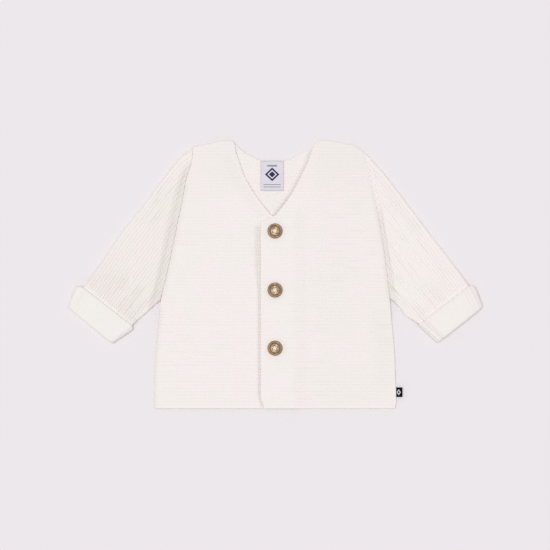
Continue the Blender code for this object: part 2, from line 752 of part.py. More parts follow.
def finish(name: str, colour: tuple, roughness: float) -> bpy.types.Material:
    """A Principled material of that colour."""
    material = bpy.data.materials.new(name)
    material.use_nodes = True
    shader = material.node_tree.nodes["Principled BSDF"]
    shader.inputs["Base Color"].default_value = (*colour, 1.0)
    shader.inputs["Roughness"].default_value = roughness
    shader.inputs["Metallic"].default_value = 0.0
    return material


def new_collection(name: str) -> bpy.types.Collection:
    """A collection in the scene."""
    collection = bpy.data.collections.new(name)
    bpy.context.scene.collection.children.link(collection)
    return collection


def clear_scene() -> None:
    """Removes every object that the scene starts with."""
    for obj in list(bpy.data.objects):
        bpy.data.objects.remove(obj)


clear_scene()
GARMENT = new_collection("baby_cardigan")
CUTTERS = new_collection("cutters")

IVORY = (0.88, 0.86, 0.82)
BROWN = (0.36, 0.24, 0.13)
LILAC = (0.60, 0.59, 0.70)
NAVY = (0.01, 0.012, 0.03)

right_sleeve = Sleeve("right", RIGHT_SLEEVE, RIGHT_CUFF, valley=(5 * MM, 17 * MM), pleat=0.0)
left_sleeve = Sleeve("left", LEFT_SLEEVE, LEFT_CUFF, valley=(4 * MM, 9 * MM), pleat=1.8 * MM)

pieces = {
    "knit": [
        build_back("back"),
        build_front("front_under", "right", right_front_underside),
        build_front("front_over", "left", left_front_underside),
        build_sleeve("sleeve_right", right_sleeve),
        build_sleeve("sleeve_left", left_sleeve),
        build_cuff("cuff_right", right_sleeve),
        build_cuff("cuff_left", left_sleeve),
    ],
    "button": [build_button(row) for row in BUTTONS],
    "label": [build_label("neck_label")],
    "tag": [build_tag("side_tag")],
}
colours = {"knit": (IVORY, 0.9), "button": (BROWN, 0.45), "label": (LILAC, 0.6), "tag": (NAVY, 0.7)}
for kind, objects in pieces.items():
    for piece in objects:
        piece.data.materials.append(finish(f"{piece.name} {kind}", *colours[kind]))
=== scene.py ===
"""The looks of a baby's knitted cardigan with three buttons, laid flat on a pale surface.

Lengths are in metres, +Z is up, +Y points to the neck, and left and right are the wearer's, so the
left side is at +X. A height, in what follows, is a distance up the garment from its hem, along +Y.
A point of the cloth lies a level above the surface, along +Z.
"""

import logging
import math
from collections.abc import Callable, Sequence
from dataclasses import dataclass, replace
from enum import Enum
from typing import NamedTuple

import bmesh
import bpy
import numpy as np
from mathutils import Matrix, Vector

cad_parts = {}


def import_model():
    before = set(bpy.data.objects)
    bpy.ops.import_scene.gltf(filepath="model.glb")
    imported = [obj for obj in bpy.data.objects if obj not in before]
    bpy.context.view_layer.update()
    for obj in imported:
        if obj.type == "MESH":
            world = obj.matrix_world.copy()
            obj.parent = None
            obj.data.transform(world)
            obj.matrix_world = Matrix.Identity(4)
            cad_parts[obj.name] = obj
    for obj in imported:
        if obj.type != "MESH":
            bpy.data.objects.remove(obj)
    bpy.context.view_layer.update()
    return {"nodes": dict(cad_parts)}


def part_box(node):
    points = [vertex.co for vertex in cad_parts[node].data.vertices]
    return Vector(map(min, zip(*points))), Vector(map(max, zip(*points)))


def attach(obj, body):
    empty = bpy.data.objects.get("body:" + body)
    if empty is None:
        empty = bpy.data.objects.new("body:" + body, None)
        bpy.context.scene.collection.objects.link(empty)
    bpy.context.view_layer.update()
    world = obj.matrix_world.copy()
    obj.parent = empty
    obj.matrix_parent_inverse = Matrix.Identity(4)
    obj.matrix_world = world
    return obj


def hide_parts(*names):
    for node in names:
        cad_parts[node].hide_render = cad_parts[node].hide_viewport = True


LOG = logging.getLogger("cardigan")
MM = 0.001
BODY = "root"
KNIT_SLOT = "ivory_knit"

WALL = 2.0 * MM  # one layer of knit
GAP = 0.3 * MM  # between layers that touch
HEM_Y = -134.65 * MM
ROUNDING = WALL / 2  # of a free edge

Array = np.ndarray
Pair = tuple[Array, Array]
Reals = Array | float
Span = tuple[float, float]
Spot = tuple[float, float, float]
Colour = tuple[float, float, float]
Material = bpy.types.Material
Object = bpy.types.Object
Inputs = dict[int | str, object]


class Side(Enum):
    """The wearer's side that a piece is on."""

    RIGHT = "right"
    LEFT = "left"

    @property
    def sign(self) -> float:
        """The sign of X on this side."""
        return 1.0 if self is Side.LEFT else -1.0


class HeightRow(NamedTuple):
    """Where an edge of the right and of the left front runs at one height, in mm."""

    height: float
    right: float
    left: float


class EdgeRow(NamedTuple):
    """A point of a top edge, in mm: X or distance out from the middle line, and height."""

    out: float
    height: float


class SleeveRow(NamedTuple):
    """A section across a sleeve: its two silhouette points, in mm out and in height."""

    name: str
    upper_out: float
    upper_height: float
    under_out: float
    under_height: float


class Crease(NamedTuple):
    """A soft trough or ridge from one plan point to another, all in mm. A ridge's depth is negative."""

    start_x: float
    start_height: float
    end_x: float
    end_height: float
    width: float
    depth: float


class CuffFold(NamedTuple):
    """A fold along a turned-up cuff: its place across, its rise in mm, and its half width across."""

    share: float
    rise: float
    width: float = 0.012


def table(kind: type, *rows: tuple) -> list:
    """The rows as that kind of named tuple."""
    return [kind(*row) for row in rows]


BODY_SIDES = table(  # distance out from the middle line
    HeightRow,
    (0, 121.2, 118.4), (1.2, 121.3, 119.6), (4, 121.4, 120.4), (14, 121.4, 120.6),
    (36, 120.9, 119.7), (58, 119.9, 118.8), (84, 117.2, 116.5), (109, 114.7, 114.1),
    (135, 108.6, 111.2), (162, 102.8, 107.6), (193, 96.5, 102.4), (209, 93.1, 99.6),
    (231, 89.0, 94.4), (248, 83.9, 90.6), (263, 82.8, 88.8),
)
V_EDGES = table(  # X
    HeightRow,
    (187.5, 13.8, -15.2), (190, 5.6, -7.7), (193, -2.9, -1.4), (198, -7.8, 3.0), (205, -13.5, 8.8),
    (214.5, -20.6, 15.4), (225, -26.8, 21.2), (234, -31.7, 25.9), (244, -35.2, 30.8),
    (254, -38.8, 34.5), (264.5, -40.7, 38.1),
)
SHOULDERS = {
    Side.RIGHT: table(
        EdgeRow,
        (40.7, 266.2), (44.0, 268.1), (49.7, 268.2), (58.7, 266.9), (72.7, 263.7), (82.8, 262.2),
    ),
    Side.LEFT: table(
        EdgeRow,
        (38.1, 264.8), (44.0, 268.1), (49.8, 268.6), (60.0, 267.1), (77.6, 263.5), (86.3, 258.7),
        (88.9, 255.9),
    ),
}
BACK_NECK = table(
    EdgeRow,
    (-35.2, 259.8), (-30.0, 255.8), (-24.9, 253.2), (-19.0, 250.3), (-14.7, 248.7), (8.3, 248.5),
    (14.3, 249.3), (19.5, 252.2), (24.3, 255.2), (29.3, 257.4), (34.5, 259.4),
)
RIGHT_SLEEVE = table(
    SleeveRow,
    ("fold", 204.5, 101.2, 163.1, 67.5), ("cuff edge", 192.4, 121.4, 143.4, 83.1),
    ("forearm", 172.6, 150.4, 136.5, 89.2), ("elbow", 152.3, 179.8, 131.0, 94.0),
    ("upper arm", 131.1, 205.7, 126.0, 98.5), ("high", 112.9, 230.9, 120.5, 103.6),
    ("cap", 97.0, 251.2, 117.5, 106.0), ("armhole", 84.4, 261.0, 115.1, 108.0),
)
LEFT_SLEEVE = table(
    SleeveRow,
    ("fold", 204.2, 102.0, 161.6, 68.5), ("cuff edge", 193.4, 123.5, 142.5, 84.6),
    ("forearm", 177.0, 146.3, 134.5, 89.1), ("elbow", 156.9, 172.2, 129.0, 92.9),
    ("upper arm", 134.9, 201.1, 124.5, 99.4), ("high", 112.1, 231.2, 119.3, 105.5),
    ("cap", 99.1, 245.9, 117.0, 107.4), ("armhole", 90.0, 255.8, 114.9, 109.0),
)
RIGHT_CUFF = table(
    SleeveRow,
    ("fold", 207.8, 102.4, 161.4, 66.1), ("cuff edge", 200.5, 122.9, 142.3, 79.0),
)
LEFT_CUFF = table(
    SleeveRow,
    ("fold", 207.1, 103.6, 159.3, 67.3), ("cuff edge", 200.4, 122.2, 141.3, 84.0),
)
BODY_CREASES = table(
    Crease,
    (-112, 104, -84, 128, 9, 0.5), (-104, 150, -78, 176, 12, 0.4), (110, 100, 84, 122, 9, 0.5),
    (98, 160, 70, 190, 12, 0.4), (-60, 232, -30, 214, 10, -0.3), (62, 236, 34, 212, 10, -0.3),
    (-100, 20, -62, 34, 14, 0.35), (60, 26, 104, 16, 14, 0.35), (-20, 150, -48, 160, 9, 0.3),
)
RIGHT_CREASES = table(
    Crease,
    (150, 96, 134, 116, 5, 0.35), (176, 126, 150, 128, 7, 0.3), (120, 205, 104, 214, 8, 0.3),
)
LEFT_CREASES = table(
    Crease,
    (112.3, 121.7, 122.5, 111.4, 1.1, 0.9), (120, 118, 132, 108, 5, -0.4),
    (172, 122, 146, 122, 7, 0.3), (126, 196, 108, 206, 8, 0.3),
)
RIGHT_CUFF_FOLDS = table(
    CuffFold,
    (-0.03, -0.2), (0.0, 0.25), (0.03, -0.3), (0.065, 0.2, 0.013), (0.1, -0.15),
)
LEFT_CUFF_FOLDS = table(
    CuffFold,
    (-0.03, -0.25), (0.0, 0.3), (0.032, -0.35), (0.065, 0.3, 0.013), (0.1, -0.25), (0.905, -0.35),
    (0.94, 0.4, 0.013), (0.97, -0.45), (1.005, 0.4, 0.013), (1.035, -0.45),
)

# Curves and shares


class Curve:
    """A smooth curve through points, with the slope at each taken from its neighbours."""

    def __init__(self, at: Sequence[float], points: Sequence[Sequence[float]]) -> None:
        """Keeps the points and works out their slopes.

        Args:
            at: the parameter at each point, rising.
            points: the points, each with the same number of coordinates.
        """
        self.at = np.array(at, float)
        self.points = np.array(points, float).reshape(len(self.at), -1)
        self.slopes = np.gradient(self.points, self.at, axis=0)

    def __call__(self, t: Reals) -> Array:
        """Points of the curve.

        Args:
            t: parameters, of any shape. Past either end the curve runs on straight.

        Returns:
            The points, with their coordinates along a new last axis.
        """
        t = np.asarray(t, float)
        i = np.clip(np.searchsorted(self.at, t, side="right") - 1, 0, len(self.at) - 2)
        step = (self.at[i + 1] - self.at[i])[..., None]
        s = np.clip((t - self.at[i])[..., None] / step, 0, 1)
        inside = self.points[i] * (1 + 2 * s) * (1 - s) ** 2 + self.points[i + 1] * s * s * (3 - 2 * s)
        inside += self.slopes[i] * step * s * (1 - s) ** 2
        inside += self.slopes[i + 1] * step * s * s * (s - 1)
        over = np.maximum(t - self.at[-1], 0)[..., None] * self.slopes[-1]
        short = np.minimum(t - self.at[0], 0)[..., None] * self.slopes[0]
        return inside + over + short


def ease(distance: Reals, reach: Reals) -> Array:
    """0 at no distance, 1 from reach on, and smooth between."""
    t = np.clip(np.asarray(distance, float) / reach, 0, 1)
    return t * t * (3 - 2 * t)


def fade(distance: Reals, reach: Reals) -> Array:
    """1 at no distance, 0 from reach on, and smooth between."""
    return 1 - ease(distance, reach)


def bell(distance: Reals, width: float) -> Array:
    """1 at no distance, and less and less away from it on both sides."""
    return np.exp(-((distance / width) ** 2))


class Ramp(NamedTuple):
    """A smooth rise from 0 to 1: where it starts, and over what distance it goes on."""

    start: float
    over: float

    def __call__(self, at: Reals) -> Array:
        """How far it has come."""
        return ease(at - self.start, self.over)


CAST_ON = Ramp(1.6 * MM, 2.2 * MM)  # of the ridges, above the hem's edge


def mix(a: Reals, b: Reals, share: Reals) -> Reals:
    """The value that share of the way from a to b."""
    return a + (b - a) * share


def column(rows: Sequence, *names: str) -> Array:
    """The named columns of a table in millimetres, in metres."""
    return np.array([[getattr(row, name) * MM for name in names] for row in rows])


def edge_at(rows: Sequence[HeightRow], side: Side, height: Reals) -> Array:
    """Where that side's edge runs at those heights."""
    return Curve(column(rows, "height")[:, 0], column(rows, side.value))(height)[..., 0]


def inset_line(line: Array, distance: float) -> Array:
    """Moves a plan line sideways.

    Args:
        line: its points, one a row.
        distance: how far it moves to the left of the way it runs.

    Returns:
        The moved points.
    """
    run = np.gradient(line, axis=0)
    run /= np.linalg.norm(run, axis=1)[:, None]
    return line + distance * np.stack([-run[:, 1], run[:, 0]], axis=1)


def multiples(gap: float, low: float, high: float) -> Array:
    """The multiples of the gap from low to high."""
    return np.arange(math.ceil(low / gap), math.floor(high / gap) + 1) * gap


def polygon_area(line: Array) -> float:
    """The area inside a closed plan line."""
    after = np.roll(line, -1, axis=0)
    return abs(float(np.sum(line[:, 0] * after[:, 1] - after[:, 0] * line[:, 1]))) / 2


def crease_depth(creases: Sequence[Crease], x: Array, height: Array) -> Array:
    """How deep the creases press the cloth in.

    Args:
        creases: the creases that the piece has.
        x: X of each point.
        height: height of each point.

    Returns:
        The depth at each point, below nothing on a ridge.
    """
    total = np.zeros_like(x)
    for crease in creases:
        start = np.array([crease.start_x, crease.start_height]) * MM
        run = np.array([crease.end_x, crease.end_height]) * MM - start
        length = np.linalg.norm(run)
        run = run / length
        along = (x - start[0]) * run[0] + (height - start[1]) * run[1]
        aside = (height - start[1]) * run[0] - (x - start[0]) * run[1]
        ends = ease(along + length / 4, length / 2) * ease(1.25 * length - along, length / 2)
        total += crease.depth * MM * ends * bell(aside, crease.width * MM)
    return total


def drift(along: Array, across: Array, cell: Span, seed: int) -> Array:
    """A smooth uneven value over the cloth.

    Args:
        along: distance along the cloth.
        across: distance across it.
        cell: over what distances the value changes, along and across.
        seed: picks one of many such patterns.

    Returns:
        The value at each point, from 0 to 1.
    """
    size = 64
    table = np.random.default_rng(seed).random((size, size))
    u, v = np.broadcast_arrays(along / cell[0] + 17.3, across / cell[1] + 11.7)
    i, j = np.floor(u).astype(int), np.floor(v).astype(int)
    s, t = ease(u - i, 1.0), ease(v - j, 1.0)
    i, j, right, up = i % size, j % size, (i + 1) % size, (j + 1) % size
    return mix(mix(table[i, j], table[right, j], s), mix(table[i, up], table[right, up], s), t)


# Meshes


def place(name: str, mesh: bpy.types.Mesh, material: Material) -> Object:
    """Puts a mesh in the scene, shaded smooth.

    Args:
        name: the object's name.
        mesh: its mesh.
        material: its material.

    Returns:
        The new object.
    """
    obj = bpy.data.objects.new(name, mesh)
    bpy.context.scene.collection.objects.link(obj)
    mesh.materials.clear()
    mesh.materials.append(material)
    mesh.shade_smooth()
    return obj


def mesh_of(name: str, points: Sequence, faces: Sequence) -> bpy.types.Mesh:
    """A mesh of those points and faces."""
    mesh = bpy.data.meshes.new(name)
    mesh.from_pydata(points, [], faces)
    return mesh


class ClothMesh:
    """Collects the points of a piece of knit, with their painted shade and knit coordinates, and its faces.
    """

    same_column = 0.35 * MM

    def __init__(self) -> None:
        """Starts with nothing in it."""
        self.points: list[Array] = []
        self.shades: list[Array] = []
        self.knits: list[Array] = []
        self.faces: list[Sequence[int]] = []
        self.count = 0

    def add(self, points: Array, shade: Reals = 0.0, knit: Reals = 0.0) -> Array:
        """Adds points.

        Args:
            points: X, Y and Z of each.
            shade: each point's painted shade, from 0 on a crest to 1 at the darkest: among the stitches, by
                edges, in grooves and valleys.
            knit: each point's place in the knit, in stitches along and in ridges across.

        Returns:
            Their indices, in the shape of the points.
        """
        shape = points.shape[:-1]
        count = math.prod(shape)
        self.points.append(points.reshape(-1, 3))
        self.shades.append(np.broadcast_to(shade, shape).ravel())
        self.knits.append(np.broadcast_to(knit, (*shape, 2)).reshape(-1, 2))
        self.count += count
        return np.arange(self.count - count, self.count).reshape(shape)

    def strip(self, first: Array, second: Array, closed: bool = False, flip: bool = False) -> None:
        """Joins two rows of as many points each.

        Args:
            first: indices of the first row.
            second: indices of the second row, which lies to the left of the first one's way.
            closed: whether the last points join the first ones again.
            flip: whether the faces turn the other way.
        """
        if closed:
            first, second = np.append(first, first[0]), np.append(second, second[0])
        quads = np.stack([first[:-1], first[1:], second[1:], second[:-1]], axis=1)
        self.faces.extend((quads[:, ::-1] if flip else quads).tolist())

    def strips(self, rings: Sequence[Array], flip: bool) -> None:
        """Joins closed rings, each to the one after it, and the last to the first."""
        for first, second in zip(rings, [*rings[1:], rings[0]]):
            self.strip(first, second, closed=True, flip=flip)

    def zipped(self, lower: Array, upper: Array, lower_x: Array, upper_x: Array, flip: bool = False) -> None:
        """Joins two rows that run towards +X and may differ in their number of points.

        Args:
            lower: indices of the lower row.
            upper: indices of the upper row.
            lower_x: X of the lower row's points.
            upper_x: X of the upper row's points.
            flip: whether the faces turn to -Z.
        """
        low, up = lower.tolist(), upper.tolist()
        low_x, up_x = lower_x.tolist() + [math.inf], upper_x.tolist() + [math.inf]
        i = j = 0
        while i < len(low) - 1 or j < len(up) - 1:
            ahead = low_x[i + 1] - up_x[j + 1]
            if abs(ahead) < self.same_column:
                face = (low[i], low[i + 1], up[j + 1], up[j])
                i, j = i + 1, j + 1
            elif ahead < 0:
                face = (low[i], low[i + 1], up[j])
                i += 1
            else:
                face = (low[i], up[j + 1], up[j])
                j += 1
            self.faces.append(face[::-1] if flip else face)

    def make(self, name: str, material: Material) -> Object:
        """Makes the object.

        Args:
            name: the piece's name.
            material: its material.

        Returns:
            The new object.
        """
        mesh = mesh_of(name, np.concatenate(self.points), self.faces)
        places = np.pad(np.concatenate(self.knits), ((0, 0), (0, 1)))
        # The shade attribute carries the painted shade to the material.
        shade = mesh.attributes.new("shade", "FLOAT", "POINT")
        shade.data.foreach_set("value", np.concatenate(self.shades).astype(np.float32))
        knit = mesh.attributes.new("knit", "FLOAT_VECTOR", "POINT")
        knit.data.foreach_set("vector", places.astype(np.float32).ravel())
        mesh.validate()
        return place(name, mesh, material)


# The knit


@dataclass(frozen=True)
class GarterStitch:
    """The relief of garter knit: rounded ridges, and loops that make each ridge wavy."""

    ridge_pitch: float = 3.35 * MM
    stitch_pitch: float = 3.1 * MM
    ridge_depth: float = 0.31 * MM
    loop_depth: float = 0.1 * MM
    calm: float = 0.55
    unrest: float = 0.25
    # tone: how strong the painted shade between the ridges is
    tone: float = 0.17
    patch: Span = (42 * MM, 34 * MM)
    patchy: Ramp = Ramp(0.35, 0.45)
    dash: float = 17 * MM
    dashed: Ramp = Ramp(0.3, 0.6)
    sway: float = 0.5 * MM
    sway_cell: Span = (38 * MM, 60 * MM)
    phase: float = 0.31
    seed: int = 0

    def strength(self, along: Array, across: Array, valley: Array) -> Array:
        """How deep the valleys are: calm in places, and in others uneven from valley to valley.

        Args:
            along: distance along the ridges.
            across: distance across them.
            valley: the number of the valley that each point is nearest to.

        Returns:
            The share of the ridges' depth at each point.
        """
        patches = self.patchy(drift(along, across, self.patch, self.seed))
        dashes = self.dashed(drift(along, valley * 7.0, (self.dash, 1.0), self.seed + 1))
        fine = drift(along, valley * 3.0, (self.dash * 0.4, 1.0), self.seed + 2)
        return self.calm + patches * (dashes - 0.2) + self.unrest * (fine - 0.5)

    def knit(self, along: Array, across: Array) -> Array:
        """Places in the knit.

        Args:
            along: distance along the ridges.
            across: distance across them.

        Returns:
            Stitches along and ridges across, along a new last axis.
        """
        sway = self.sway * (drift(along, across, self.sway_cell, self.seed + 3) - 0.5)
        stitches = along / self.stitch_pitch + self.phase * self.seed
        return np.stack([stitches, (across + sway) / self.ridge_pitch], axis=-1)

    def depth(self, along: Array, across: Array) -> Array:
        """How far the surface lies below the crests.

        Args:
            along: distance along the ridges.
            across: distance across them.

        Returns:
            The depth at each point, in metres.
        """
        stitch, ridge = np.moveaxis(self.knit(along, across), -1, 0)
        low = 0.5 + 0.5 * np.cos(math.tau * ridge)
        loops = np.cos(math.tau * stitch) * np.sin(math.tau * ridge)
        strength = self.strength(along, across, np.round(ridge))
        return self.ridge_depth * strength * low + self.loop_depth * 0.5 * (1 - loops)

    def shade(self, depth: Array) -> Array:
        """Painted shade among the stitches, darker the deeper a point lies, from 0 to 1."""
        return self.tone * np.clip(depth / (self.ridge_depth + self.loop_depth), 0, 1)


# The sleeves' stitches carry more painted shade than the body's, the left sleeve less than the right.
SLEEVE_STITCH = GarterStitch(
    3.15 * MM, ridge_depth=0.4 * MM, loop_depth=0.36 * MM, calm=0.8, tone=0.76, seed=70
)
LEFT_SLEEVE_STITCH = replace(SLEEVE_STITCH, ridge_depth=0.36 * MM, loop_depth=0.3 * MM, tone=0.44, seed=75)
CUFF_STITCH = GarterStitch(3.15 * MM, ridge_depth=0.14 * MM, loop_depth=0.12 * MM, tone=0.14, seed=90)
INSIDE_STITCH = GarterStitch(ridge_depth=0.3 * MM, loop_depth=0.34 * MM, seed=30)

# The body


@dataclass(frozen=True)
class BodyForm:
    """Where the fronts' and the back's edges run, and how the fronts lie over the back."""

    loft: float = 2.7 * MM
    underarm: float = 104.5 * MM
    rise_from_hem: float = 34.0 * MM
    rise_from_shoulder: float = 24.0 * MM
    rise_from_neck: float = 20.0 * MM
    rise_from_side: float = 22.0 * MM
    rise_below_underarm: float = 24.0 * MM
    lap_slack: float = 0.1 * MM
    lap_corner_slack: float = 0.6 * MM
    lap_corner_reach: float = 28.0 * MM
    lap_width: float = 29.0 * MM
    lap_step: Ramp = Ramp(1.0 * MM, 20.0 * MM)
    lap_fade: float = 50.0 * MM
    hem_curve: float = 3.0 * MM
    hem_curve_height: float = 14.0 * MM
    button_line: float = -0.7 * MM
    v_corner: float = V_EDGES[0].height * MM
    v_tip: float = 193.0 * MM
    below_tip_pace: float = 1.6

    def side_out(self, side: Side, height: Array) -> Array:
        """Distance of a side edge from the middle line."""
        return edge_at(BODY_SIDES, side, height)

    def v_edge(self, side: Side, height: Array) -> Array:
        """X of a front's V edge."""
        return edge_at(V_EDGES, side, height)

    def shoulder(self, side: Side) -> Array:
        """The shoulder's edge, as distance out and height, from the neck."""
        return column(SHOULDERS[side], "out", "height")

    def placket_x(self, side: Side, height: Array) -> Array:
        """X of a front's straight edge. The left one's curves away at the hem."""
        curve = self.hem_curve * fade(height, self.hem_curve_height)
        return self.button_line - side.sign * self.lap_width / 2 + curve * (side is Side.LEFT)

    def rise(self, x: Array, height: Array) -> Array:
        """How far the fronts stand above where they would lie flat on the back.

        Args:
            x: X of each point.
            height: its height.

        Returns:
            The rise at each point.
        """
        out = np.abs(x)
        tops = [np.interp(out, *self.shoulder(side).T) for side in (Side.LEFT, Side.RIGHT)]
        sides = [self.side_out(side, height) for side in (Side.LEFT, Side.RIGHT)]
        level = np.maximum(height, self.v_tip)
        beside = np.maximum(self.v_edge(Side.RIGHT, level) - x, x - self.v_edge(Side.LEFT, level))
        below = self.below_tip_pace * np.maximum(self.v_tip - height, 0)
        from_neck = np.hypot(np.maximum(beside, 0), below)
        to_side = ease(np.where(x > 0, *sides) - out, self.rise_from_side)
        under = ease(self.underarm - height, self.rise_below_underarm)
        rise = self.loft * ease(height, self.rise_from_hem) * ease(from_neck, self.rise_from_neck)
        rise = rise * ease(np.where(x > 0, *tops) - height, self.rise_from_shoulder)
        return rise * mix(1.0, to_side, under)

    def lap_lift(self, x: Array, height: Array) -> Array:
        """How far the left front is lifted by the right front under it.

        Args:
            x: X of each point.
            height: its height.

        Returns:
            The lift at each point.
        """
        edge = self.button_line + self.lap_width / 2
        from_corner = np.hypot(x - edge, height - self.v_corner)
        lift = WALL + GAP + self.lap_slack + self.lap_corner_slack * fade(from_corner, self.lap_corner_reach)
        return lift * (1 - self.lap_step(x - edge)) * fade(height - self.v_tip, self.lap_fade)

    def front_under(self, side: Side, x: Array, height: Array) -> Array:
        """Level of a front's underside."""
        lifted = self.lap_lift(x, height) if side is Side.LEFT else 0.0
        return WALL + GAP + self.rise(x, height) + lifted


@dataclass
class Panel:
    """A panel of the body: rows of points run towards +X, and bend near the top to its upper edge."""

    name: str
    material: Material
    form: BodyForm = BodyForm()
    stitch: GarterStitch = GarterStitch()
    row_step: float = 0.5583 * MM
    fine_step: float = 0.775 * MM
    coarse_step: float = 9.0 * MM
    lower_step: float = 9.0 * MM
    bend_from: float = 236.0 * MM
    nominal_top: float = 268.5 * MM
    # rim_shades: painted contact shade on each ring of the rounded edge, darkest towards the surface under it
    rim_turns: Sequence[float] = (54.0, 18.0, -18.0, -54.0, -90.0)
    rim_shades: Sequence[float] = (0.1, 0.4, 0.7, 0.8, 0.4)
    edge_give: float = 0.3

    def top_line(self) -> Array:
        """The upper edge, inset by the rounding: X and height, towards +X."""
        raise NotImplementedError

    def end_x(self, height: Array) -> Pair:
        """X of the panel's two ends at those heights, inset by the rounding."""
        raise NotImplementedError

    def levels(self, x: Array, height: Array) -> Pair:
        """Levels of its upper and lower surfaces, without the stitches. A plain panel lies flat."""
        return np.full_like(x, WALL), np.zeros_like(x)

    def fine_span(self, base: float) -> Span:
        """Between which X a row has fine columns on its upper surface."""
        raise NotImplementedError

    def relief(self, x: Array, height: Array) -> Array:
        """Depth of the stitches on the upper surface."""
        return self.stitch.depth(x, height)

    def relief_below(self, x: Array, height: Array) -> Array:
        """Depth of the stitches on the lower surface."""
        return np.zeros_like(x)

    def dimness(self, x: Array, height: Array) -> Array:
        """Painted shadow where another edge lies on the cloth, from 0 to 1."""
        return np.zeros_like(x)

    def edge_swell(self, x: Array, height: Array, depth: Array) -> Array:
        """How far the free edge's rounding reaches, as a share of its usual reach."""
        return 1 - self.edge_give * depth / ROUNDING

    def rim_dimness(self, x: Array, height: Array) -> Array:
        """How much of the rim's painted contact shade an edge has."""
        return np.ones_like(x)

    def height_at(self, base: Array, x: Array) -> Array:
        """The height of a row's point. Its base is the height that it would have without the bend."""
        bent = np.maximum(base - self.bend_from, 0) / (self.nominal_top - self.bend_from)
        return np.minimum(base, self.bend_from) + bent * (np.interp(x, *self.top_line().T) - self.bend_from)

    def row_ends(self, bases: Array) -> Array:
        """X of both ends of every row, where the bent row meets the side edges.

        Args:
            bases: the rows' bases.

        Returns:
            The two X of each row.
        """
        ends = np.stack(self.end_x(bases), axis=1)
        for _ in range(12):
            for k in range(2):
                ends[:, k] = self.end_x(self.height_at(bases, ends[:, k]))[k]
        return ends

    def columns(self, ends: Array, step: float, fine: Span = (math.inf, math.inf)) -> Array:
        """X of a row's inner points.

        Args:
            ends: X of the row's two ends.
            step: how far apart the points are outside the fine span.
            fine: between which X they are close together.

        Returns:
            X of the points, rising.
        """
        low, high = ends
        coarse, close = multiples(step, low, high), multiples(self.fine_step, low, high)
        close = close[(close > fine[0]) & (close < fine[1])]
        coarse = coarse[(coarse < fine[0]) | (coarse > fine[1])]
        coarse = coarse[(np.abs(coarse - fine[0]) > step / 4) & (np.abs(coarse - fine[1]) > step / 4)]
        both = np.sort(np.concatenate([close, coarse]))
        margin = self.fine_step * 0.45
        return both[(both > low + margin) & (both < high - margin)]

    def build(self) -> Object:
        """Makes the panel as one closed mesh.

        Returns:
            The new object.
        """
        cloth = ClothMesh()
        bases = np.arange(ROUNDING, self.nominal_top, self.row_step)
        bases[-1] = self.nominal_top
        ends = self.row_ends(bases)
        rows = []
        for base, (low, high) in zip(bases, ends):
            inner = self.columns((low, high), self.coarse_step, self.fine_span(base))
            rows.append(np.concatenate([[low], inner, [high]]))
        lengths = [len(row) for row in rows]
        x = np.concatenate(rows)
        height = self.height_at(np.repeat(bases, lengths), x)
        depth = self.relief(x, height)
        upper, lower = self.levels(x, height)
        points = np.stack([x, HEM_Y + height, upper - depth], axis=1)
        # The stitches' painted shade, and painted shadow where other edges lie on the cloth.
        shade = self.stitch.shade(depth) + self.dimness(x, height)
        added = cloth.add(points, shade, self.stitch.knit(x, height))
        spans = np.split(added, np.cumsum(lengths)[:-1])
        for i in range(len(rows) - 1):
            cloth.zipped(spans[i], spans[i + 1], rows[i], rows[i + 1])
        left = [span[-1] for span in spans[1:]]
        right = [span[0] for span in spans[-2:0:-1]]
        loop = np.concatenate([spans[0], left, spans[-1][-2::-1], right])
        foot = self.rim(cloth, loop, [values[loop] for values in (x, height, depth, upper, lower)])
        parts = np.split(foot, np.cumsum([lengths[0], len(left), lengths[-1] - 1]))
        self.underside(cloth, bases, ends, parts)
        return cloth.make(self.name, self.material)

    def rim(self, cloth: ClothMesh, loop: Array, border: Sequence[Array]) -> Array:
        """Rounds the panel's edge, from the upper surface's border to the lower surface's.

        Args:
            cloth: the mesh.
            loop: indices of the border's points, anticlockwise.
            border: their X, height, depth of stitches, and levels above and below.

        Returns:
            Indices of the lower surface's border.
        """
        x, height, depth, upper, lower = border
        plan = np.stack([x, height], axis=1)
        run = np.roll(plan, -1, axis=0) - np.roll(plan, 1, axis=0)
        run /= np.linalg.norm(run, axis=1)[:, None]
        out = np.stack([run[:, 1], -run[:, 0]], axis=1)
        reach = ROUNDING * self.edge_swell(x, height, depth)
        high, low = upper - depth, lower + self.relief_below(x, height)
        shade, knit = self.stitch.shade(depth), self.stitch.knit(x, height)
        share = self.rim_dimness(x, height)
        # Each ring of the rounding gets painted contact shade.
        for degrees, dark in zip(self.rim_turns, self.rim_shades):
            turn = math.radians(degrees)
            spot = plan + out * (reach * math.cos(turn))[:, None]
            level = (high + low) / 2 + (high - low) / 2 * math.sin(turn)
            points = np.stack([spot[:, 0], HEM_Y + spot[:, 1], level], axis=1)
            ring = cloth.add(points, shade + dark * share, knit)
            cloth.strip(ring, loop, closed=True)
            loop = ring
        return loop

    def underside(self, cloth: ClothMesh, bases: Array, ends: Array, foot: Sequence[Array]) -> None:
        """Closes the panel from below.

        Args:
            cloth: the mesh.
            bases: the rows' bases.
            ends: X of the rows' ends.
            foot: indices of the lower surface's border along the hem, up the left end, back along
                the top and down the right end.
        """
        hem, left, top, right = foot
        rows = [hem]
        for i in range(1, len(bases) - 1):
            inner = self.columns(ends[i], self.lower_step)
            height = self.height_at(np.full_like(inner, bases[i]), inner)
            depth = self.relief_below(inner, height)
            points = np.stack([inner, HEM_Y + height, self.levels(inner, height)[1] + depth], axis=1)
            added = cloth.add(points, self.stitch.shade(depth), self.stitch.knit(inner, height))
            rows.append(np.concatenate([[right[-i]], added, [left[i - 1]]]))
        rows.append(np.append(left[-1], top)[::-1])
        x = np.concatenate(cloth.points)[:, 0]
        for lower, upper in zip(rows[:-1], rows[1:]):
            cloth.zipped(lower, upper, x[lower], x[upper], flip=True)


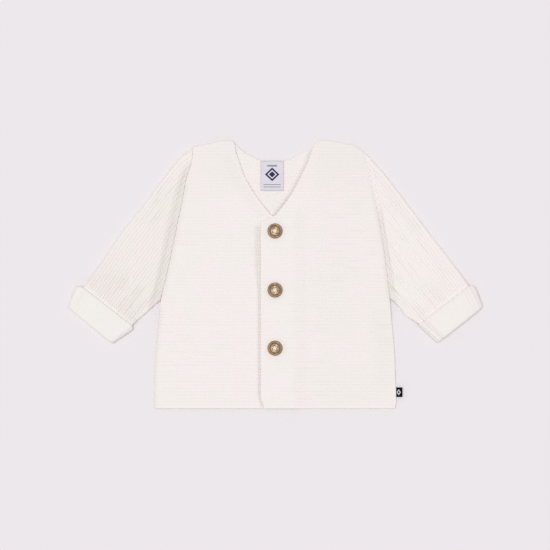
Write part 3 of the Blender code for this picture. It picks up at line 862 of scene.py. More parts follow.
@dataclass
class FrontPanel(Panel):
    """One of the two fronts. The left one laps over the right one."""

    side: Side = Side.RIGHT
    band_relief: float = 0.45
    groove_depth: float = 0.8 * MM
    # groove_shade, side_shade and armhole_shade are painted shade: in the groove beside the upper front's
    # edge, along the right side edge and by the armhole
    groove_shade: float = 0.52
    groove_widths: Span = (2.8 * MM, 5.8 * MM)
    groove_slope: Span = (0.35, 0.95)
    groove_widens: Ramp = Ramp(112.0 * MM, 34.0 * MM)
    under_lap: Ramp = Ramp(-6.0 * MM, 3.0 * MM)
    shoulder_shade: float = 0.07
    to_shoulder: Ramp = Ramp(195 * MM, 50 * MM)
    past_band_shade: float = 0.05
    past_band: Ramp = Ramp(20 * MM, 30 * MM)
    side_shade: float = 0.32
    armhole_shade: float = 0.3
    armhole_top: float = 240.0 * MM
    sleeve_from: float = 107.5 * MM
    sleeve_to: float = 254.0 * MM
    inner_part: float = 42.0 * MM
    # Shares of the rims' painted contact shade: on cloth, and on the right front's edges that lie on the
    # surface
    rim_on_cloth: float = 0.15
    right_rim: float = 1.4
    edge_reach: float = 5.0 * MM
    edge_loops: Span = (0.93, 0.21)
    hidden_from: float = -10.0 * MM
    hidden_below: float = 182.0 * MM

    def edge_line(self) -> Pair:
        """The V edge, inset.

        Returns:
            Heights of its points, and their X.
        """
        height = np.linspace(self.form.v_corner, V_EDGES[-1].height * MM + 4 * MM, 300)
        line = np.stack([self.form.v_edge(self.side, height), height], axis=1)
        inset = inset_line(line, -self.side.sign * ROUNDING)
        return inset[:, 1], inset[:, 0]

    def top_line(self) -> Array:
        """The shoulder's edge, inset.

        Returns:
            X and height of its points, towards +X.
        """
        line = self.form.shoulder(self.side) * [self.side.sign, 1.0]
        line = line[np.argsort(line[:, 0])]
        spots = np.linspace(line[0, 0], line[-1, 0], 60)
        return inset_line(np.stack([spots, np.interp(spots, *line.T)], axis=1), -ROUNDING)

    def end_x(self, height: Array) -> Pair:
        """X of the side edge and of the free edge.

        Args:
            height: the heights.

        Returns:
            The lower X at each, and the higher one.
        """
        sign = self.side.sign
        side_x = sign * (self.form.side_out(self.side, height) - ROUNDING)
        v_x = np.interp(height, *self.edge_line(), left=-sign * math.inf)
        straight = self.form.placket_x(self.side, height) + sign * ROUNDING
        if self.side is Side.LEFT:
            return np.maximum(straight, v_x), side_x
        return side_x, np.minimum(straight, v_x)

    def beside_lap(self, x: Array, height: Array) -> Array:
        """Where the under front is in the groove along the upper one's edge.

        Args:
            x: X of each point.
            height: its height.

        Returns:
            1 in the groove, and 0 away from it.
        """
        if self.side is Side.LEFT:
            return np.zeros_like(x)
        aside = self.form.placket_x(Side.LEFT, height) - x
        width = mix(*self.groove_widths, self.groove_widens(height))
        flat, slope = (share * width for share in self.groove_slope)
        near = fade(aside - flat, slope) * self.under_lap(aside)
        return near * ease(self.form.v_corner - height, 9 * MM)

    def levels(self, x: Array, height: Array) -> Pair:
        """Levels of the front's upper and lower surfaces.

        Args:
            x: X of each point.
            height: its height.

        Returns:
            The upper levels, and the lower ones.
        """
        low = self.form.front_under(self.side, x, height)
        pressed = np.minimum(crease_depth(BODY_CREASES, x, height), (low - WALL) / 2)
        return low + WALL - pressed - self.groove_depth * self.beside_lap(x, height), low

    def dimness(self, x: Array, height: Array) -> Array:
        """The groove along the upper front's edge has the darkest painted shade; the right side and the side
        edge by the armhole have painted shade too. The shoulder is a little dim.

        Args:
            x: X of each point.
            height: its height.

        Returns:
            How much darker each point is, from 0 to 1.
        """
        inside = self.form.side_out(self.side, height) - self.side.sign * x
        by_edge = fade(inside, self.edge_reach)
        by_armhole = ease(height - self.form.underarm, 8 * MM) * ease(self.armhole_top - height, 30 * MM)
        shade = self.groove_shade * self.beside_lap(x, height)
        shade = shade + self.shoulder_shade * self.to_shoulder(height)
        shade = shade + self.armhole_shade * by_armhole * by_edge
        if self.side is Side.LEFT:
            return shade + self.past_band_shade * self.past_band(x)
        return shade + self.side_shade * by_edge * ease(self.form.underarm - height, 6 * MM)

    def fine_span(self, base: float) -> Span:
        """All that shows is fine. The right front runs on under the left one."""
        hidden = self.side is Side.RIGHT and base < self.hidden_below
        return -math.inf, self.hidden_from if hidden else math.inf

    def relief(self, x: Array, height: Array) -> Array:
        """Ridges across the front, flatter on the band and at the hem's cast-on edge.

        Args:
            x: X of each point.
            height: its height.

        Returns:
            The stitches' depth at each point.
        """
        share = CAST_ON(height)
        if self.side is Side.LEFT:
            on_band = fade(x - self.form.placket_x(Side.RIGHT, height), 8 * MM)
            share = share * mix(1.0, self.band_relief, on_band * fade(height - self.form.v_corner, 12 * MM))
        return self.stitch.depth(x, height) * share * (1 + 0.6 * self.beside_lap(x, height))

    def edge_swell(self, x: Array, height: Array, depth: Array) -> Array:
        """The free edges have a small loop at every ridge, the others are even."""
        loops = self.edge_loops[0] - self.edge_loops[1] * np.cos(math.tau * height / self.stitch.ridge_pitch)
        return np.where(self.on_free(x, height), loops, super().edge_swell(x, height, depth))

    def rim_dimness(self, x: Array, height: Array) -> Array:
        """Edges that lie on cloth get less painted contact shade than those on the surface.

        Args:
            x: X of each point.
            height: its height.

        Returns:
            How much of the rim's painted contact shade each point has.
        """
        on_sleeve = (height > self.sleeve_from) & (height < self.sleeve_to) & (self.side.sign * x > 60 * MM)
        on_surface = 1.0 if self.side is Side.LEFT else self.right_rim
        return np.where(self.on_free(x, height) | on_sleeve, self.rim_on_cloth, on_surface)

    def on_free(self, x: Array, height: Array) -> Array:
        """Whether a point of the border is on the placket or the V edge.

        Args:
            x: X of each point.
            height: its height.

        Returns:
            Whether each point is.
        """
        aside = np.abs(x - self.form.placket_x(self.side, height) - self.side.sign * ROUNDING)
        near = (aside < 0.2 * MM) | (height > self.form.v_corner - WALL)
        return near & (self.side.sign * x < self.inner_part) & (height > WALL)


@dataclass
class BackPanel(Panel):
    """The back. Its inside shows in the neck, and its outside lies on the surface."""

    bend_from: float = 206.0 * MM
    lower_step: float = 3.1 * MM
    window_from: float = 184.0 * MM
    window_out: float = 43.0 * MM
    # rim_dim shares out the neck edge's painted contact shade; right_shade and left_shade are painted shadow
    # beside the V edges
    rim_dim: Span = (1.5, 0.6)
    right_shade: float = 0.3
    right_reach: float = 2.2 * MM
    left_shade: float = 0.7
    left_reach: float = 5.5 * MM
    outside: GarterStitch = GarterStitch(seed=50)

    def top_line(self) -> Array:
        """The shoulders' and the back neck's edge, inset.

        Returns:
            X and height of its points, towards +X.
        """
        right = self.form.shoulder(Side.RIGHT)[::-1] * [-1.0, 1.0]
        line = np.concatenate([right, column(BACK_NECK, "out", "height"), self.form.shoulder(Side.LEFT)])
        spots = np.linspace(line[0, 0], line[-1, 0], 300)
        kernel = np.hanning(11) / np.hanning(11).sum()
        smooth = np.convolve(np.pad(np.interp(spots, *line.T), 5, mode="edge"), kernel, mode="valid")
        return inset_line(np.stack([spots, smooth], axis=1), -ROUNDING)

    def end_x(self, height: Array) -> Pair:
        """X of the two side edges. The right hem corner stands out a little under the front.

        Args:
            height: the heights.

        Returns:
            The lower X at each, and the higher one.
        """
        peek = np.interp(height, [0, 8.3 * MM, 10 * MM], [1.0 * MM, 1.8 * MM, 0])
        right, left = (self.form.side_out(side, height) - ROUNDING for side in Side)
        return -(right + peek), left

    def fine_span(self, base: float) -> Span:
        """Fine columns where the neck's opening shows the back's inside."""
        shown = base >= self.window_from
        return (-self.window_out, self.window_out) if shown else (math.inf, math.inf)

    def dimness(self, x: Array, height: Array) -> Array:
        """Painted shadow along the V edges that lie on it, the left front's the most.

        Args:
            x: X of each point.
            height: its height.

        Returns:
            How much darker each point is, from 0 to 1.
        """
        right, left = (self.form.v_edge(side, np.maximum(height, self.form.v_tip)) for side in Side)
        by_right = self.right_shade * fade(x - right, self.right_reach)
        return by_right + self.left_shade * fade(left - x, self.left_reach)

    def rim_dimness(self, x: Array, height: Array) -> Array:
        """The neck edge's painted contact shade is darkest on the right."""
        return np.where(x > 0, self.rim_dim[1], self.rim_dim[0])

    def relief(self, x: Array, height: Array) -> Array:
        """Ridges across, where they can be seen."""
        shown = ease(height - self.window_from, 4 * MM) * ease(self.window_out - np.abs(x), 3 * MM)
        return self.stitch.depth(x, height) * shown

    def relief_below(self, x: Array, height: Array) -> Array:
        """The outside's ridges, flatter along the hem."""
        return self.outside.depth(x, height) * CAST_ON(height)


# Sleeves and cuffs


@dataclass(frozen=True)
class Spots:
    """Places round a flattened tube: the share of its width, and the turn round a fold."""

    share: Array
    turn: Array

    @classmethod
    def ring(cls, above: int, below: int, fold: int) -> "Spots":
        """The places up the upper fold, across, down the under fold and back.

        Args:
            above: how many steps cross the upper wall.
            below: how many cross the lower wall.
            fold: how many go round a fold.

        Returns:
            The places, in order.
        """
        turns = np.linspace(-90, 90, fold + 1)
        shares = np.arange(1, above) / above
        backs = 1 - np.arange(1, below) / below
        share = np.concatenate([np.zeros(fold + 1), shares, np.ones(fold + 1), backs])
        turn = np.concatenate([turns, np.full(above - 1, 90.0), turns[::-1], np.full(below - 1, -90.0)])
        return cls(share, np.radians(turn))

    @property
    def on_top(self) -> Array:
        """1 on the upper wall, less and less round the folds, and 0 on the lower wall."""
        return np.sin(np.clip(self.turn, 0, None))


@dataclass
class SleeveForm:
    """The shape that a sleeve and its cuff share.

    A place along it is a station: 0 is the fold at the wrist, 1 the cuff's edge, and the last one the
    armhole. Its place across is a share: 0 is the upper edge, and 1 the under edge.
    """

    side: Side
    rows: Sequence[SleeveRow]
    cuff_rows: Sequence[SleeveRow]
    valley: Span
    pleat: float
    body: BodyForm = BodyForm()
    fold_radius: float = 1.25 * MM
    sleeve_loft: float = 3.0 * MM
    cuff_loft: float = 0.8 * MM
    loft_from_upper: float = 22.0 * MM
    loft_from_under: float = 14.0 * MM
    cuff_depth: float = 23.5 * MM
    clearance: float = 0.5 * MM
    armhole_bend: Ramp = Ramp(4.0, 3.0)
    cuff_to_loft: Ramp = Ramp(1.05, 0.9)
    cuff_to_floor: Ramp = Ramp(1.1, 0.75)
    pleat_step: Ramp = Ramp(0.905, 0.05)
    filled: Span = (0.0, 0.0)
    below_shoulder: Ramp = Ramp(0.24, 0.25)
    filled_level: float = 0.86
    ridges_fan: float = 45.0 * MM

    def __post_init__(self) -> None:
        """Makes the silhouettes' curves, and finds the arm's way."""
        self.last = float(len(self.rows) - 1)
        self.upper, self.cuff_upper, self.under, self.cuff_under = (
            Curve(range(len(rows)), column(rows, edge + "_out", edge + "_height"))
            for edge in ("upper", "under")
            for rows in (self.rows, self.cuff_rows)
        )
        self.arm_start = self.upper(1.0)
        arm = self.upper(6.0) - self.arm_start
        self.arm_way = arm / np.linalg.norm(arm)
        self.side_way = np.array([-self.arm_way[1], self.arm_way[0]])

    def armhole(self, share: Array) -> Array:
        """The armhole seam, from the shoulder to the underarm, as distance out and height."""
        height = mix(self.upper(self.last)[1], self.under(self.last)[1], share)
        return np.stack([self.body.side_out(self.side, height) + self.clearance, height], axis=-1)

    def across(self, share: Array, station: Array) -> Array:
        """Plan points between the two silhouettes.

        Args:
            share: the share of each.
            station: its station.

        Returns:
            Distance out and height of each, along a new last axis.
        """
        share, station = np.broadcast_arrays(share, station)
        wide = share[..., None]
        straight = mix(self.upper(station), self.under(station), wide)
        end = mix(self.upper(self.last), self.under(self.last), wide)
        return straight + (self.armhole(share) - end) * self.armhole_bend(station)[..., None]

    def loft(self, share: Array, station: Array) -> Array:
        """How far the upper wall stands off the lower one.

        Args:
            share: the share of each point.
            station: its station.

        Returns:
            The distance at each point.
        """
        here = self.across(share, station)
        edges = (self.armhole(share), self.across(share * 0, station), self.across(share * 0 + 1, station))
        from_armhole, from_upper, from_under = (np.linalg.norm(here - edge, axis=-1) for edge in edges)
        crown = ease(from_upper, self.loft_from_upper) * ease(from_under, self.loft_from_under)
        valley = ease(from_armhole, mix(*self.valley, share))
        filled = mix(*self.filled, self.below_shoulder(share))
        valley = mix(valley, self.filled_level, filled * (1 - valley))
        past_cuff = self.cuff_to_loft(station)
        loft = crown * valley * mix(self.cuff_loft, self.sleeve_loft, past_cuff)
        return loft + self.pleat * (1 - self.pleat_step(share)) * (1 - past_cuff)

    def point(self, spots: Spots, station: Array, out: Array) -> Array:
        """Points round the tube.

        Args:
            spots: the places round it, along the last axis.
            station: the station of each.
            out: how far each lies out of the middle of the sleeve's wall.

        Returns:
            X, Y and level of each.
        """
        share, turn, station = np.broadcast_arrays(spots.share, spots.turn, station)
        upper, under = self.across(share * 0, station), self.across(share * 0 + 1, station)
        width = np.linalg.norm(under - upper, axis=-1)
        inset, half = self.fold_radius + WALL / 2, self.fold_radius + out
        depth = inset + share * (width - 2 * inset) - (1 - 2 * share) * half * np.cos(turn)
        before = (np.maximum(-depth, 0) / (WALL + GAP))[..., None]
        after = (np.maximum(depth - width, 0) / (WALL + GAP))[..., None]
        plan = self.across(np.clip(depth / width, 0, 1), station)
        plan = plan + (self.cuff_upper(station) - self.upper(station)) * before
        plan = plan + (self.cuff_under(station) - self.under(station)) * after
        lift = (WALL + GAP) * (1 - self.cuff_to_floor(station))
        level = inset + lift + half * np.sin(turn) + spots.on_top * self.loft(share, station)
        return np.stack([self.side.sign * plan[..., 0], HEM_Y + plan[..., 1], level], axis=-1)

    def cut(self, tuck: float) -> tuple[float, float, float]:
        """The sleeve's flat cut, opened out on both sides of its upper fold.

        Args:
            tuck: how far it runs on past the armhole.

        Returns:
            Its width, length and area.
        """
        stations = np.linspace(0.0, self.last, 200)
        end = self.armhole(np.linspace(0, 1, 50)) - [tuck, 0.0]
        wall = np.concatenate([self.upper(stations), end, self.under(stations[::-1])])
        along, across = (wall - self.arm_start) @ self.arm_way, (wall - self.arm_start) @ self.side_way
        return 2 * float(np.ptp(across)), float(np.ptp(along)), 2 * polygon_area(wall)

    def knit_place(self, spots: Spots, station: Array) -> Pair:
        """Distances along and across the ridges at those places and stations."""
        share, station = np.broadcast_arrays(spots.share, station)
        return self.knit_at(spots, self.across(share, station), self.across(share * 0, station))

    def knit_at(self, spots: Spots, plan: Array, edge: Array) -> Pair:
        """Distances along and across the ridges, which run along the arm and on round the folds.

        Args:
            spots: the places round the tube.
            plan: the plan point of each, as distance out and height.
            edge: the upper silhouette's plan point on the same section.

        Returns:
            The two distances.
        """
        inward = self.side_way * np.sign((self.under(1.0) - self.arm_start) @ self.side_way)
        along = (plan - self.arm_start) @ self.arm_way
        across = (plan - self.arm_start) @ inward
        across = across - (edge - self.arm_start) @ inward * fade(across, self.ridges_fan)
        share, turn, _ = np.broadcast_arrays(spots.share, spots.turn, across)
        round_fold = self.fold_radius + WALL / 2
        arc = round_fold * (math.pi / 2 - turn)
        folded = np.where(share <= 0, across - arc, across)
        folded = np.where((share >= 1) & (turn < math.pi / 2), across + arc, folded)
        back = (turn < -1.5) & (share > 0) & (share < 1)
        return along, np.where(back, -round_fold * math.pi - across, folded)


@dataclass
class SleevePiece:
    """A sleeve, from inside its cuff to under the front's edge at the armhole."""

    name: str
    form: SleeveForm
    material: Material
    stitch: GarterStitch = SLEEVE_STITCH
    above: int = 132
    below: int = 66
    fold: int = 6
    step: float = 0.74 * MM
    hidden_step: float = 3.0 * MM
    tuck: float = 5.6 * MM
    overlap: float = 1.1 * MM
    dive: float = 1.5 * MM
    # fold_share and cuff_share scale the stitches' painted shade round the folds and in the cuff.
    # inner_shade, crease_shade, valley_shade and seam_share are painted shade: inside the tube, in the
    # creases, and in the armhole valley and along its seam.
    fold_share: float = 0.1
    cuff_share: float = 0.3
    past_cuff: Ramp = Ramp(1.0, 0.2)
    out_of_cuff: Ramp = Ramp(0.8, 0.2)
    depth_shares: Span = (1.15, 0.85)
    up_arm: Ramp = Ramp(1.5, 1.5)
    inner_shade: float = 0.3
    crease_shade: float = 0.2
    valley_shade: float = 0.3
    valley_widths: Span = (8.0 * MM, 13.5 * MM)
    valley_fade: float = 6.0 * MM
    seam_share: float = 0.3
    shoulder_shown: float = 1.0
    creases: Sequence[Crease] = ()
    tuck_below_shoulder: Ramp = Ramp(0.18, 0.17)
    tuck_to_underarm: Ramp = Ramp(0.82, 0.12)

    def __post_init__(self) -> None:
        """Sets out the places round the sleeve."""
        self.spots = Spots.ring(self.above, self.below, self.fold)

    def stations(self) -> Array:
        """The outer wall's rings, evenly spaced along the upper edge.

        Returns:
            Their stations.
        """
        fine = np.linspace(GAP / self.form.cuff_depth, self.form.last, 2000)
        lengths = np.linalg.norm(np.diff(self.form.upper(fine), axis=0), axis=1)
        run = np.concatenate([[0], np.cumsum(lengths)])
        shown = float(np.interp(0.9, fine, run))
        hidden = np.arange(0, shown, self.hidden_step)
        seen = np.linspace(shown, run[-1], math.ceil((run[-1] - shown) / self.step) + 1)
        return np.interp(np.concatenate([hidden, seen]), run, fine)

    def tucked(self) -> Array:
        """1 where the upper wall runs on under the front's edge, and 0 by the shoulder and underarm."""
        tuck = self.tuck_below_shoulder(self.spots.share) * (1 - self.tuck_to_underarm(self.spots.share))
        return np.where(self.spots.turn > 1.5, tuck, 0.0)

    def reach_in(self, reach: float) -> Array:
        """How far inside the armhole line each of a ring's points lies."""
        return mix(min(reach, self.overlap), reach, self.tucked())

    def end_ring(self, reach: float, out: Reals) -> Array:
        """A ring inside the armhole line. It dives into or under the front's edge.

        Args:
            reach: how far inside the line its tucked part lies.
            out: how far each point lies out of the middle of the wall.

        Returns:
            X, Y and level of each.
        """
        ring = self.form.point(self.spots, self.form.last, out)
        ring[..., 0] -= self.form.side.sign * self.reach_in(reach)
        loft = self.form.loft(self.spots.share, self.form.last)
        drop = ease(reach, self.overlap) * mix(self.dive, loft, self.tucked())
        if np.max(out) < 0:
            drop = np.minimum(drop, loft + 0.4 * MM)
        ring[..., 2] -= drop * self.spots.on_top
        return ring

    def valley(self, station: Reals) -> Array:
        """Painted shade on the upper wall, in the valley along the armhole.

        Args:
            station: the rings' stations.

        Returns:
            The shade at each of their points.
        """
        share, station = np.broadcast_arrays(self.spots.share, station)
        away = np.linalg.norm(self.form.across(share, station) - self.form.armhole(share), axis=-1)
        width = mix(*self.valley_widths, ease(share, 0.5))
        near = fade(away - width, self.valley_fade) + self.seam_share * fade(away, 6 * MM)
        shown = mix(self.shoulder_shown, 1.0, self.form.below_shoulder(share)) * ease(share - 0.04, 0.1)
        return self.valley_shade * near * shown * self.spots.on_top

    def pressed(self, station: Array) -> Array:
        """How deep the creases press the upper wall in at the rings of those stations."""
        plan = self.form.across(self.spots.share, station)
        return crease_depth(self.creases, plan[..., 0], plan[..., 1]) * self.spots.on_top

    def build(self) -> Object:
        """Makes the sleeve as one closed mesh: its outside up the arm, its inside back.

        Returns:
            The new object.
        """
        cloth = ClothMesh()
        at = self.stations()[:, None]
        along, across = self.form.knit_place(self.spots, at)
        depth = self.stitch.depth(along, across) * self.out_of_cuff(at)
        depth = depth * mix(*self.depth_shares, self.up_arm(at))
        pressed = self.pressed(at)
        points = self.form.point(self.spots, at, WALL / 2 - depth - pressed)
        # Painted shade: the stitches', less round the folds and in the cuff, with the armhole valley's and
        # the creases'.
        by_fold = mix(self.fold_share, 1.0, ease(self.spots.turn, math.pi / 2))
        by_cuff = mix(self.cuff_share, 1.0, self.past_cuff(at))
        shade = self.stitch.shade(depth) * by_fold * by_cuff + self.valley(at)
        shade = shade + self.crease_shade * pressed / MM
        knit = self.stitch.knit(along, across)
        rings = [*cloth.add(points, shade, knit), *self.seam_rings(cloth)]
        for reach in (self.tuck, self.overlap, 0.0):
            rings.append(cloth.add(self.end_ring(reach, -WALL / 2), self.inner_shade, knit[-1]))
        inner = np.linspace(self.form.last - 0.4, at[0, 0], 26)[:, None]
        rings += [*cloth.add(self.form.point(self.spots, inner, -WALL / 2), self.inner_shade, knit[-1])]
        cloth.strips(rings, flip=self.form.side is Side.LEFT)
        return cloth.make(self.name, self.material)

    def seam_rings(self, cloth: ClothMesh) -> list[Array]:
        """The outside's rings from the armhole line to the edge that is tucked under the front.

        Args:
            cloth: the mesh.

        Returns:
            Indices of the rings' points.
        """
        rings = []
        share = self.spots.share
        top = self.form.armhole(share * 0)
        overlaps = self.overlap * np.array([0.35, 0.7, 1.0])
        for reach in (*overlaps, mix(self.overlap, self.tuck, 0.4), self.tuck):
            inside = np.stack([self.reach_in(reach), share * 0], axis=-1)
            along, across = self.form.knit_at(self.spots, self.form.armhole(share) - inside, top)
            depth = self.stitch.depth(along, across) * self.depth_shares[1]
            shade = self.stitch.shade(depth) + self.valley(self.form.last)
            ring = self.end_ring(reach, WALL / 2 - depth)
            rings.append(cloth.add(ring, shade, self.stitch.knit(along, across)))
        return rings


@dataclass
class CuffPiece:
    """The turned-back end of a sleeve, with its roll at the wrist."""

    name: str
    form: SleeveForm
    material: Material
    stitch: GarterStitch = CUFF_STITCH
    above: int = 150
    below: int = 76
    fold: int = 18
    step: float = 0.6 * MM
    bend_share: float = 0.07
    # edge_dim and fold_shade are painted shade: in patches along the free edge, and in the folds' troughs
    edge_dim: float = 0.3
    edge_notch: float = 1.6 * MM
    edge_patch: float = 9.0 * MM
    edge_band: float = 2.6 * MM
    edge_relief: float = 1.2
    fold_shade: float = 0.85
    folds: Sequence[CuffFold] = ()

    def profile(self) -> Array:
        """The cuff's section along the arm, from its free edge round the roll to its inside.

        Returns:
            Distance from the fold, and distance out of the middle of the sleeve's wall, of each point.
        """
        depth, inner, outer = self.form.cuff_depth, WALL / 2 + GAP, WALL * 1.5 + GAP
        middle, half = (inner + outer) / 2, (outer - inner) / 2
        turns = np.radians([-90, -54, -18, 18, 54])
        edge = np.stack([depth - half + half * np.cos(turns), middle + half * np.sin(turns)], axis=1)
        outside = [(along, outer) for along in np.arange(depth - half, 0, -self.step)]
        middle, half = (WALL + GAP) / 2, outer - (WALL + GAP) / 2
        turns = np.radians(np.arange(90, -91, -15))
        roll = np.stack([-half * np.cos(turns), middle + half * np.sin(turns)], axis=1)
        inside = [(0.0, WALL / 2), (-GAP / 2, middle), (0.0, inner), (depth / 2, inner)]
        return np.concatenate([edge, outside, roll, inside])

    def raised(self, spots: Spots) -> Array:
        """How far the folds stand up. They lie on the upper wall and on the tops of its two bends.

        Args:
            spots: the places round the cuff.

        Returns:
            The rise at each place, in metres.
        """
        bent = (math.pi / 2 - np.clip(spots.turn, 0, None)) * self.bend_share
        place = spots.share + np.where(spots.share < 0.5, -bent, bent)
        total = sum(fold.rise * MM * bell(place - fold.share, fold.width) for fold in self.folds)
        return total * ease(spots.turn, 0.4)

    def edge_shade(self, from_edge: Array, across: Array) -> Array:
        """Uneven patches of painted shade along the free edge.

        Args:
            from_edge: distance of each point from that edge, along the arm.
            across: distance across the ridges.

        Returns:
            The shade at each point.
        """
        seed, none = self.stitch.seed, np.zeros_like(across)
        notches = ease(drift(across, none, (self.edge_notch, 1.0), seed + 5) - 0.4, 0.3)
        patches = ease(drift(across, none, (self.edge_patch, 1.0), seed + 6) - 0.25, 0.4)
        return self.edge_dim * notches * patches * ease(self.edge_band - from_edge, 1.6 * MM)

    def build(self) -> Object:
        """Makes the cuff as one closed mesh.

        Returns:
            The new object.
        """
        cloth = ClothMesh()
        spots = Spots.ring(self.above, self.below, self.fold)
        along_arm, out = self.profile().T[..., None]
        station, from_edge = along_arm / self.form.cuff_depth, self.form.cuff_depth - along_arm
        along, across = self.form.knit_place(spots, station)
        on_outside = ease(out - WALL, WALL / 2)
        near_edge = ease(5 * MM - from_edge, 5 * MM)
        depth = self.stitch.depth(along, across) * on_outside * (1 + self.edge_relief * near_edge)
        raised = self.raised(spots)
        # Painted shade: the stitches', in the folds' troughs and along the free edge.
        shade = self.stitch.shade(depth) + self.fold_shade * np.maximum(-raised, 0) / MM
        shade = shade + self.edge_shade(from_edge, across)
        out = out - depth + raised * on_outside * (out >= (WALL * 1.5 + GAP) * 0.8)
        rings = cloth.add(self.form.point(spots, station, out), shade, self.stitch.knit(along, across))
        cloth.strips(rings, flip=self.form.side is Side.RIGHT)
        return cloth.make(self.name, self.material)


# Finishes


def linear(colour: Colour) -> tuple[float, float, float, float]:
    """Linear values, and an alpha of 1, of a colour's screen values of 0 to 255."""
    shares = [value / 255 for value in colour]
    return *(share / 12.92 if share <= 0.04045 else ((share + 0.055) / 1.055) ** 2.4 for share in shares), 1.0


def arithmetic(operation: str) -> Callable[["Value", object], "Value"]:
    """An operator of Value that adds a Math node."""
    return lambda value, other=0.0: value.shader.math(operation, value, other)


class Value:
    """An output of a node in a material. Arithmetic on it adds Math nodes, and | takes the higher value."""

    def __init__(self, shader: "Shader", socket: bpy.types.NodeSocket) -> None:
        """Keeps the output and its material."""
        self.shader, self.socket = shader, socket

    __add__, __sub__ = arithmetic("ADD"), arithmetic("SUBTRACT")
    __mul__, __truediv__ = arithmetic("MULTIPLY"), arithmetic("DIVIDE")
    __pow__, __abs__ = arithmetic("POWER"), arithmetic("ABSOLUTE")
    __lt__, __or__ = arithmetic("LESS_THAN"), arithmetic("MAXIMUM")


class Shader:
    """A material with a Principled shader, and short methods for the nodes that the finishes share."""

    def __init__(self, name: str, **inputs: float) -> None:
        """Starts the material.

        Args:
            name: its name.
            inputs: values for the shader's inputs, with _ for a space in an input's name.
        """
        self.material = bpy.data.materials.new(name)
        self.material.use_nodes = True
        self.tree = self.material.node_tree
        self.surface = self.tree.nodes["Principled BSDF"]
        self.fill(self.surface, {key.replace("_", " "): value for key, value in inputs.items()})

    def fill(self, node: bpy.types.Node, inputs: Inputs) -> None:
        """Links values to a node's inputs, or sets them to plain numbers, vectors or colours.

        Args:
            node: the node.
            inputs: what goes into each.
        """
        for key, value in inputs.items():
            if isinstance(value, Value):
                self.tree.links.new(value.socket, node.inputs[key])
            else:
                node.inputs[key].default_value = value

    def node(self, kind: str, output: int | str, inputs: Inputs, **settings: str) -> Value:
        """Adds a node.

        Args:
            kind: its type, without the ShaderNode before it.
            output: the output that is wanted.
            inputs: what goes into its inputs.
            settings: its other properties.

        Returns:
            That output.
        """
        node = self.tree.nodes.new("ShaderNode" + kind)
        for key, value in settings.items():
            setattr(node, key, value)
        self.fill(node, inputs)
        return Value(self, node.outputs[output])

    def attribute(self, name: str, output: str) -> Value:
        """An output of the mesh attribute of that name."""
        return self.node("Attribute", output, {}, attribute_name=name)

    def place(self) -> Value:
        """The object's own coordinates."""
        return self.node("TexCoord", "Object", {})

    def noise(self, vector: Value, scale: float, detail: float = 2.0) -> Value:
        """A noise of 0 to 1, with that many patches to a metre and that many finer layers."""
        return self.node("TexNoise", "Fac", {"Vector": vector, "Scale": scale, "Detail": detail})

    def grain(self, vector: Value, scale: Spot, detail: float = 2.0) -> Value:
        """A noise with another number of patches along each axis."""
        return self.noise(self.node("Mapping", "Vector", {"Vector": vector, "Scale": scale}), 1.0, detail)

    def split(self, vector: Value) -> list[Value]:
        """The vector's three coordinates."""
        return [self.node("SeparateXYZ", axis, {"Vector": vector}) for axis in "XYZ"]

    def math(self, operation: str, first: object, second: object = 0.0) -> Value:
        """The result of a Math node."""
        return self.node("Math", 0, {0: first, 1: second}, operation=operation)

    def between(self, value: Value, low: float, high: float, start: float = 0.0, end: float = 1.0) -> Value:
        """The value's range from low to high, spread smoothly from start to end."""
        inputs = {"Value": value, "From Min": low, "From Max": high, "To Min": start, "To Max": end}
        return self.node("MapRange", "Result", inputs, interpolation_type="SMOOTHSTEP")

    def blend(self, share: object, first: Value | Colour, second: Value | Colour) -> Value:
        """The colour that share of the way from the first to the second, each a value or screen values."""
        first, second = (end if isinstance(end, Value) else linear(end) for end in (first, second))
        return self.node("Mix", 2, {0: share, 6: first, 7: second}, data_type="RGBA")

    def finish(
        self, colour: Value, relief: Value | None = None, rise: float = 0.0, strength: float = 1.0
    ) -> Material:
        """Gives the surface its colour, and a relief if it has one.

        Args:
            colour: the base colour.
            relief: the relief's height.
            rise: how many metres high it is at a value of 1.
            strength: how strongly it shows.

        Returns:
            The material.
        """
        self.fill(self.surface, {"Base Color": colour})
        if relief:
            inputs = {"Strength": strength, "Distance": rise, "Height": relief}
            self.fill(self.surface, {"Normal": self.node("Bump", "Normal", inputs)})
        return self.material


